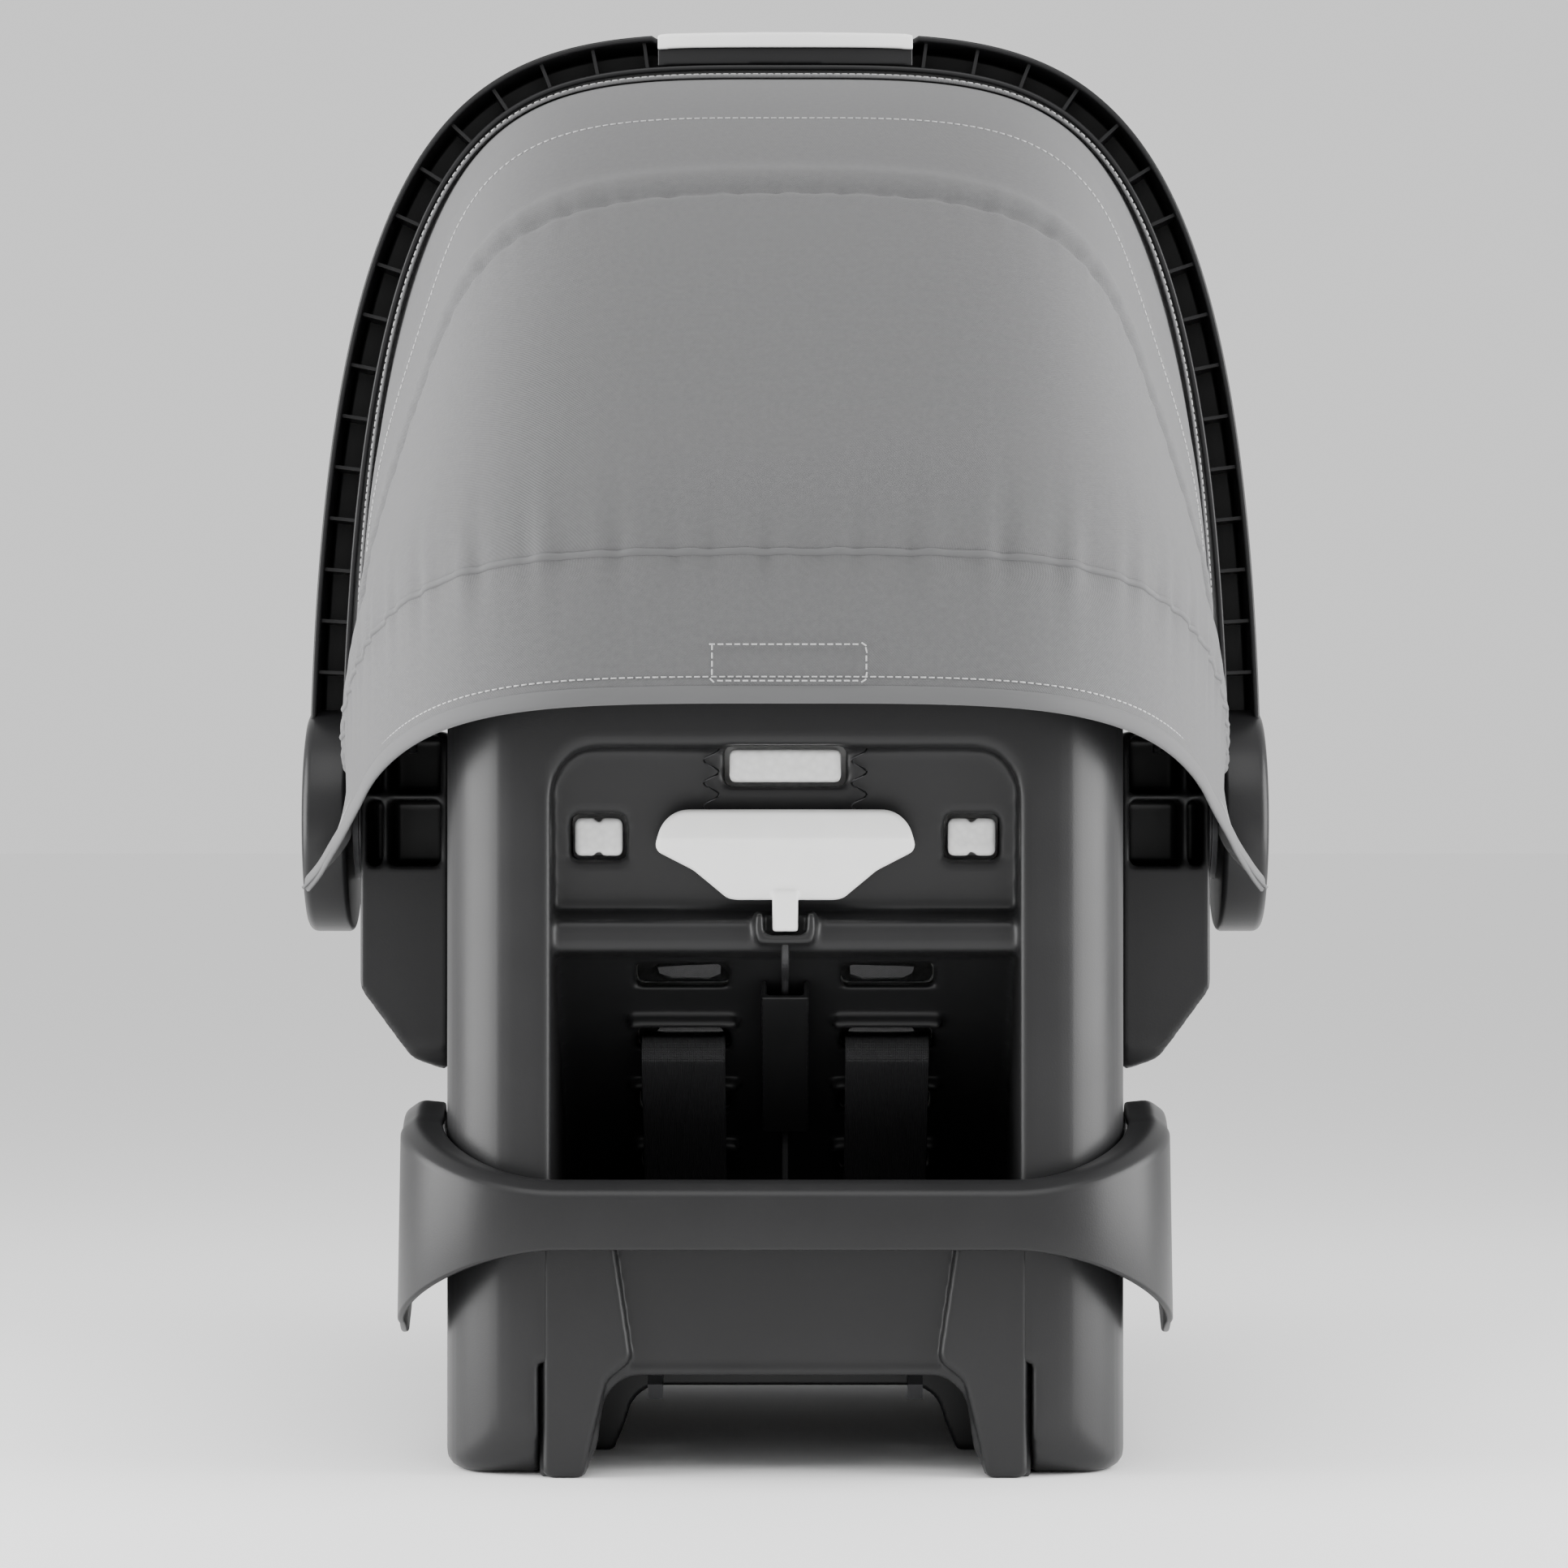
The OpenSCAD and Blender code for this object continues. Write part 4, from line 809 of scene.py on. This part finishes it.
# %% [markdown]
# ## The carry handle
# An arch of open channel: a thin web in front, two flanges behind, and cross ribs that stiffen
# it. The channel is lofted along the arch, and the ribs are repeated inside it.

# %% Arch
ARCH = np.array([(0, 347), (121, 347), (199.8, 353), (209, 43)], float)
RIB_PITCH = 22


def arch(t, d):
    """A point on the arch, moved inwards by d: its distance from the middle and height over the hub."""
    t = np.asarray(t, float)[..., None]
    b0, b1, b2, b3 = ARCH
    p = b0 * (1 - t) ** 3 + 3 * b1 * t * (1 - t) ** 2 + 3 * b2 * t * t * (1 - t) + b3 * t ** 3
    v = 3 * ((b1 - b0) * (1 - t) ** 2 + 2 * (b2 - b1) * t * (1 - t) + (b3 - b2) * t * t)
    v /= np.linalg.norm(v, axis=-1)[..., None]
    return p + d * np.stack([v[..., 1], -v[..., 0]], -1)


def even(d, end, count):
    """Shares of the arch that are evenly spaced along its length, from the middle to end."""
    t = np.linspace(0, end, 600)
    length = np.concatenate([[0], np.cumsum(np.linalg.norm(np.diff(arch(t, d), axis=0), axis=1))])
    return np.interp(np.linspace(0, length[-1], count), length, t)


def channel_ring(t, side):
    grip = abs(float(arch(t, 0)[0])) < 56.6
    o = 2.7 if grip else 0.0
    corners = [(o, -18, 1.0), (o, 18, 2.5), (16.5, 18, 2.5), (16.5, -18, 1.0), (13.9, -18, 1.0),
               (13.9, 15.4, 1.5), (o + 2.6, 15.4, 1.5), (o + 2.6, -18, 1.0)]
    ring = []
    for d, y in outline(corners, 4):
        x, h = arch(t, d)
        ring.append((side * x, y, HUB + h))
    return ring


def make_handle():
    ts = even(8, 1.0, 110)
    rings = [channel_ring(t, -1) for t in ts[::-1]] + [channel_ring(t, 1) for t in ts[1:]]
    points, faces = loft(rings)
    return outward(piece("handle_channel", points, faces, "handle_black", "handle", ["handle_arch"]))


def make_ribs():
    ts = even(8.2, 1.0, 400)
    ts = [t for t in ts if arch(t, 0)[0] > 62]
    lines = [[(side * arch(t, 8.2)[0], 1.2, HUB + arch(t, 8.2)[1]) for t in ts] for side in (-1, 1)]
    ribs = repeat("handle_ribs", lines, "rib", (11.8, 29, 1.5), RIB_PITCH, "handle_black")
    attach(ribs, "handle")
    return ribs


make_handle()
make_ribs()

# %% [markdown]
# ## Hubs
# Each end of the handle is a round housing, turned like a lathe job from one rounded profile.

# %% Hubs
def turned(name, profile, side, finish, body, replaces=(), steps=96):
    rings = []
    for k in range(steps):
        a = 2 * math.pi * k / steps
        rings.append([(side * x, r * math.cos(a), HUB + r * math.sin(a)) for x, r in profile])
    rings = np.array(rings)
    n, m = rings.shape[:2]
    faces = [(i * m + j, ((i + 1) % n) * m + j, ((i + 1) % n) * m + (j + 1) % m, i * m + (j + 1) % m)
             for i in range(n) for j in range(m)]
    return outward(piece(name, rings.reshape(-1, 3), faces, finish, body, replaces))


HOUSING = outline([(190.6, 8.6, 0.5), (190.6, 49, 2.5), (210.4, 49, 4), (210.4, 34, 2), (209.4, 32, 2),
                   (209.4, 15.6, 1), (198, 15.6, 0.5), (198, 8.6, 0.5)], 6)
for label, side in (("left", -1), ("right", 1)):
    turned("hub_housing_" + label, HOUSING, side, "handle_black", "handle", ["hub_cap_" + label])

# %% [markdown]
# ## The canopy
# Cloth stretched between two wire bows and the shell. Any place on it is a share of the arch and
# an angle about the hubs. Gathers at the seams are ripples that die away into the panel.

# %% Canopy surface
CLOTH_D, CLOTH_THICK = 21.0, 1.2
CLOTH_END = float(np.interp(-60, -arch(np.linspace(0, 1, 900), 25.4)[:, 1], np.linspace(0, 1, 900)))
SEAM = 161.5


def hood(s, a, lift=0.0):
    """s runs from -1 to 1 across the canopy, a is degrees about the hubs from straight ahead."""
    table = even(CLOTH_D, CLOTH_END, 400)
    t = np.interp(np.abs(s), np.linspace(0, 1, 400), table)
    p = arch(t, CLOTH_D - np.asarray(lift, float)[..., None] if np.ndim(lift) else CLOTH_D - lift)
    a = np.radians(a)
    return np.stack([np.sign(s) * p[..., 0], p[..., 1] * np.cos(a), HUB + p[..., 1] * np.sin(a)], -1)


def style_seam(s):
    return 127 + 15 * np.abs(s / 0.8) ** 2


def gathers(s, waves, seed):
    return (np.sin(s * waves + seed) + 0.6 * np.sin(s * waves * 1.63 + 2 * seed)
            + 0.5 * np.sin(s * waves * 0.47 + 3 * seed)) / 2.1


def rear_lift(s, a):
    low = (SEAM - a)
    off = a - style_seam(s)
    lift = -4.5 * np.sin(np.pi * np.clip((a - 98) / 63, 0, 1)) ** 1.5
    shoulder = np.exp(-((np.abs(s) - 0.52) / 0.17) ** 2)
    lift -= 7.5 * shoulder * np.clip((a - 99) / 10, 0, 1) * np.clip(low / 30, 0, 1)
    lift += 1.5 * gathers(s, 130, 1.3) * np.exp(-low / 3.2)
    lift += 0.8 * gathers(s, 170, 0.4) * np.exp(-np.abs(off) / 2.0)
    lift -= 2.6 * np.exp(-(off / 0.5) ** 2)
    lift += 2.2 * np.exp(-((off + 1.8) / 1.4) ** 2)
    lift += 1.2 * np.sin(a * 0.55 + 9 * np.abs(s)) * np.clip((np.abs(s) - 0.55) / 0.45, 0, 1)
    lift += 3.0 * np.exp(-((low - 5) / 4.5) ** 2)
    return lift


def front_lift(s, a):
    lift = -5.0 * np.sin(np.pi * np.clip((a - 52) / 44, 0, 1)) ** 1.5
    lift += 0.8 * gathers(s, 110, 2.1) * np.exp(-(a - 52) / 2.2)
    lift += 0.9 * np.sin(a * 0.6 + 8 * np.abs(s)) * np.clip((np.abs(s) - 0.5) / 0.5, 0, 1)
    return lift


def sheet_from(name, grid, finish, thick):
    """A cloth panel from a grid of points, with a UV map in metres for its weave."""
    n, m = grid.shape[:2]
    faces = [(i * m + j, i * m + j + 1, (i + 1) * m + j + 1, (i + 1) * m + j)
             for i in range(n - 1) for j in range(m - 1)]
    obj = outward(piece(name, grid.reshape(-1, 3), faces, finish))
    across = np.cumsum(np.linalg.norm(np.diff(grid, axis=0, prepend=grid[:1]), axis=2), axis=0)
    along = np.cumsum(np.linalg.norm(np.diff(grid, axis=1, prepend=grid[:, :1]), axis=2), axis=1)
    flat = np.stack([along, across], -1).reshape(-1, 2) * MM
    loops = np.zeros(len(obj.data.loops), int)
    obj.data.loops.foreach_get("vertex_index", loops)
    obj.data.uv_layers.new(name="weave").data.foreach_set("uv", flat[loops].ravel())
    wall = obj.modifiers.new("thickness", "SOLIDIFY")
    wall.thickness, wall.offset = thick * MM, 0.0
    apply_modifiers(obj)
    return obj


def panel(name, a0, a1, lift, rows, columns=241):
    s, a = np.meshgrid(np.linspace(-1, 1, columns), np.linspace(a0, a1, rows))
    return sheet_from(name, hood(s, a, lift(s, a)), "canopy_fabric", CLOTH_THICK)


# %% Canopy panels
rear = panel("canopy_rear_panel", 98, SEAM, rear_lift, 150)
front = panel("canopy_front_panel", 52.5, 96, front_lift, 90)
casing = panel("canopy_casing", 93.5, 101.5, lambda s, a: 1.6 + 0 * s, 12)
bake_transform(rear)
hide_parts("canopy_rear")
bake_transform(front)
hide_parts("canopy_front")
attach(casing, "mid_bow")

# %% [markdown]
# ## The skirt
# A band of the same cloth hangs from the lower seam, ends in a bound hem, and drops to a loose
# tip behind each hub. Its sides stay inside the handle, and flare only below the handle's sweep.

# %% Skirt
def skirt_grid(columns=241, rows=34, v0=0.0, v1=1.0, lift=0.0):
    s, v = np.meshgrid(np.linspace(-1, 1, columns), np.linspace(v0, v1, rows))
    edge = np.full(s.shape, SEAM)
    top = hood(s, edge, rear_lift(s, edge) * np.exp(-v / 0.2))
    low = 1 - np.clip((np.abs(s) - 0.62) / 0.38, 0, 1)
    side = 1 - low
    grid = top.copy()
    grid[..., 2] -= v * (57 - 9 * side)
    grid[..., 1] -= v * (10 + 4 * side)
    grid[..., 0] += np.sign(s) * 20 * side ** 2 * np.clip((v - 0.5) / 0.5, 0, 1) ** 1.5
    wave = 0.9 * gathers(s, 90, 0.8) * np.exp(-v / 0.18) * np.clip(v / 0.06, 0, 1)
    wave = wave + 1.4 * gathers(s, 24, 1.9) * v * v
    grid[..., 1] -= (wave + lift) * low
    grid[..., 0] += np.sign(s) * (wave * 0.4 + lift) * side
    return grid


skirt = sheet_from("canopy_skirt_cloth", skirt_grid(), "canopy_fabric", CLOTH_THICK)
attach(skirt, "shell")
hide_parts("canopy_skirt")


def tube(name, line, radius, finish, flat=1.0, sides=10):
    """A rolled binding: a tube along a line, flattened if flat is under 1."""
    line = np.asarray(line)
    run = np.gradient(line, axis=0)
    run /= np.linalg.norm(run, axis=1)[:, None]
    up = np.array([0, 0, 1.0])
    rings = []
    for p, r in zip(line, run):
        side = np.cross(r, up)
        side /= max(np.linalg.norm(side), 1e-6)
        over = np.cross(side, r)
        rings.append([p + radius * (math.cos(a) * side * flat + math.sin(a) * over)
                      for a in np.linspace(0, 2 * math.pi, sides, endpoint=False)])
    return outward(piece(name, *loft(rings), finish))


hem = tube("skirt_hem", skirt_grid(241, 2, 0.96, 0.96)[0], 3.6, "canopy_fabric", 0.4)
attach(hem, "shell")
across = np.linspace(-1, 1, 241)
seam_edge = np.full(across.shape, SEAM)
piping = tube("seam_piping", hood(across, seam_edge, rear_lift(across, seam_edge)), 1.5, "canopy_fabric")
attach(piping, "shell")
front_edge = hood(np.linspace(-1, 1, 181), np.full(181, 52.4), -2.0)
front_hem = tube("front_hem", front_edge, 4.6, "canopy_fabric", 0.9)
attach(front_hem, "front_bow")

# %% [markdown]
# ## Stitches
# Lighter thread on the casing, the hem and the sewn patch. Each row follows its cloth.

# %% Stitch rows
STITCH, STITCH_PITCH = (0.3, 0.3, 2.2), 3.2


def row(angle, lift, reach=0.98):
    s = np.linspace(-reach, reach, 401)
    a = angle(s) if callable(angle) else np.full(s.shape, float(angle))
    return hood(s, a, lift(s, a) if callable(lift) else np.full(s.shape, float(lift)))


rear_line = row(115, lambda s, a: rear_lift(s, a) + 0.8, 0.86)
rear_rows = repeat("rear_stitches", [rear_line], "stitch", STITCH, STITCH_PITCH, "thread")
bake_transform(rear_rows)
casing_lines = [row(100.6, 2.4), row(94.4, 2.4)]
casing_rows = repeat("casing_stitches", casing_lines, "stitch", STITCH, STITCH_PITCH, "thread")
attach(casing_rows, "mid_bow")


def patch_line():
    """A rectangle sewn on the middle of the skirt."""
    left, right, high, low = -28, 31, 325, 311
    corners = [(left, high), (right, high), (right, low), (left, low), (left, high)]
    line = []
    for (x0, z0), (x1, z1) in zip(corners, corners[1:]):
        for k in range(12):
            x, z = x0 + (x1 - x0) * k / 12, z0 + (z1 - z0) * k / 12
            line.append((x, -310 - (357.7 - z) * 10 / 57 - 2.2, z))
    return line


hem_row = skirt_grid(401, 2, 0.84, 0.84, 0.9)[0]
skirt_rows = repeat("skirt_stitches", [hem_row, patch_line()], "stitch", STITCH, STITCH_PITCH, "thread")
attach(skirt_rows, "shell")

# %% [markdown]
# ## Padding
# The lining and the head pillow are stuffed cloth. Each starts a little small, is rebuilt from
# even faces and swells in a cloth simulation, with a cap on how far a point may move.

# %% Swelling by cloth simulation
def plump(obj, voxel, cap, pressure=4.0, frames=20):
    remesh = obj.modifiers.new("remesh", "REMESH")
    remesh.mode, remesh.voxel_size = "VOXEL", voxel * MM
    apply_modifiers(obj)
    before = np.zeros(len(obj.data.vertices) * 3)
    obj.data.vertices.foreach_get("co", before)
    cloth = obj.modifiers.new("cloth", "CLOTH")
    cloth.settings.use_pressure = True
    cloth.settings.uniform_pressure_force = pressure
    cloth.settings.effector_weights.gravity = 0
    scene = bpy.context.scene
    for step in range(1, frames + 1):
        scene.frame_set(step)
    apply_modifiers(obj)
    scene.frame_set(1)
    after = np.zeros_like(before)
    obj.data.vertices.foreach_get("co", after)
    move = (after - before).reshape(-1, 3)
    size = np.linalg.norm(move, axis=1)[:, None]
    move *= np.minimum(1, cap * MM / np.maximum(size, 1e-9))
    obj.data.vertices.foreach_set("co", (before.reshape(-1, 3) + move).ravel())
    obj.data.update()
    return obj


def make_pad():
    block = Block((-144, -274, 66), (144, 290, 356), 4.5)
    field = both(seat_hollow(block, 0.6, 8), -seat_hollow(block, 12.5, 10), 5)
    edge = both(block.along_z(shell_plan(-1)), -seat_hollow(block, 12.5, 10), 4)
    edge = both(edge, -block.along_x(under_rim(0.5)), 1)
    field = either(field, edge, 5)
    field = both(field, block.along_x(under_rim(-5)), 4)
    seams = np.minimum(block.span(0, -64.6, -63.4), block.span(0, 63.4, 64.6))
    field = field + 1.6 * np.exp(-np.maximum(seams, 0) ** 2 / 9).astype(np.float32)
    for z in SLOT_Z:
        for side in (-1, 1):
            field = np.maximum(field, -slot_hole(block, side, z, 18, 4))
    pad = mould("pad_cloth", block, field, "pad_fabric", None, triangles=150000)
    dress(plump(pad, 5, 2.5), "pad_fabric", "shell", ["seat_pad"])
    return pad


def make_pillow():
    block = Block((-112, -240, 190), (112, -126, 322), 3.0)
    field = both(seat_hollow(block, 15.5, 8), -seat_hollow(block, 32, 8), 6)
    field = both(field, block.brick((-108, -240, 196), (108, -132, 316), 14), 7)
    pillow = mould("pillow_cloth", block, field, "pad_fabric", None, triangles=90000)
    dress(plump(pillow, 4, 5), "pad_fabric", "shell", ["head_pillow"])
    return pillow


make_pad()
make_pillow()
for node in ("strap_cover_left", "strap_cover_right"):
    soften(node, 0.9, 8, "shell", "pad_fabric", 40000)

# %% [markdown]
# ## The cut of the cloth
# A sheet's cut is worked out on the pattern, from the arch and its angles, before any gather or
# sag, and printed.

# %% Sheets
def along_cloth():
    """Radius and length of short steps of the cloth's line, over both sides of the arch."""
    line = arch(even(CLOTH_D, CLOTH_END, 400), CLOTH_D)
    steps = np.linalg.norm(np.diff(line, axis=0), axis=1)
    return (line[1:, 1] + line[:-1, 1]) / 2, steps, np.linspace(0, 1, len(steps))


def turned_cut(a0, a1):
    """Width, length and area of a panel that sweeps from one angle to another."""
    radius, steps, _ = along_cloth()
    turn = math.radians(a1 - a0)
    return 2 * steps.sum(), radius.max() * turn, 2 * (radius * steps).sum() * turn


def skirt_cut():
    """The skirt is a strip that is a little shallower at its sides."""
    _, steps, s = along_cloth()
    side = np.clip((s - 0.62) / 0.38, 0, 1)
    deep = np.hypot(57 - 9 * side, 10 + 4 * side)
    return 2 * steps.sum(), deep.max(), 2 * (deep * steps).sum()


for cloth, cut, held, rest in (
        (rear, turned_cut(98, SEAM), "stretched", ["mid_bow", "shell_moulding"]),
        (front, turned_cut(52.5, 96), "stretched", ["mid_bow", "front_bow"]),
        (casing, turned_cut(93.5, 101.5), "stretched", ["mid_bow"]),
        (skirt, skirt_cut(), "hung", ["shell_moulding"])):
    width, length, area = cut[0] * MM, cut[1] * MM, cut[2] * MM * MM
    print(cloth.name, "cut", round(width, 3), "x", round(length, 3), "m, area", round(area, 4))

# %% [markdown]
# ## CAD parts that are already right
# Pins, springs, screws, bows and buttons keep their shape and take a real finish.

# %% Finishes for the CAD parts
for name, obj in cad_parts.items():
    if obj.hide_render:
        continue
    for place_in_list in obj.material_slots:
        if place_in_list.name in FINISH:
            place_in_list.material = FINISH[place_in_list.name]

# %% [markdown]
# ## Studio
# A pale floor, an even white sky, two tall soft lights that draw the bright edges down the
# columns, and a weaker one above. Nothing here looks different to the camera than it lights.

# %% Floor, sky and lights
floor_mesh = bpy.data.meshes.new("floor")
floor_mesh.from_pydata([(-30, -30, 0), (30, -30, 0), (30, 30, 0), (-30, 30, 0)], [], [(0, 1, 2, 3)])
floor = link("floor", floor_mesh)
floor_material, _, floor_shader = new_material("floor_pale")
floor_shader.inputs["Base Color"].default_value = (0.95, 0.95, 0.95, 1)
floor_shader.inputs["Roughness"].default_value = 0.9
floor_mesh.materials.append(floor_material)

world = bpy.data.worlds.new("studio")
world.use_nodes = True
sky = world.node_tree.nodes["Background"]
sky.inputs["Color"].default_value = (1, 1, 1, 1)
sky.inputs["Strength"].default_value = 1.0
bpy.context.scene.world = world
print("sky strength", sky.inputs["Strength"].default_value)


def softbox(name, location, turn, size, power):
    light = bpy.data.lights.new(name, "AREA")
    light.shape, light.size, light.size_y, light.energy = "RECTANGLE", size[0], size[1], power
    obj = bpy.data.objects.new(name, light)
    obj.location, obj.rotation_euler = location, [math.radians(v) for v in turn]
    bpy.context.scene.collection.objects.link(obj)


softbox("side_left", (-1.1, -0.35, 0.45), (90, 0, -78), (0.9, 1.3), 34)
softbox("side_right", (1.1, -0.35, 0.45), (90, 0, 78), (0.9, 1.3), 34)
softbox("top", (0, -1.2, 1.9), (35, 0, 0), (1.4, 1.4), 16)
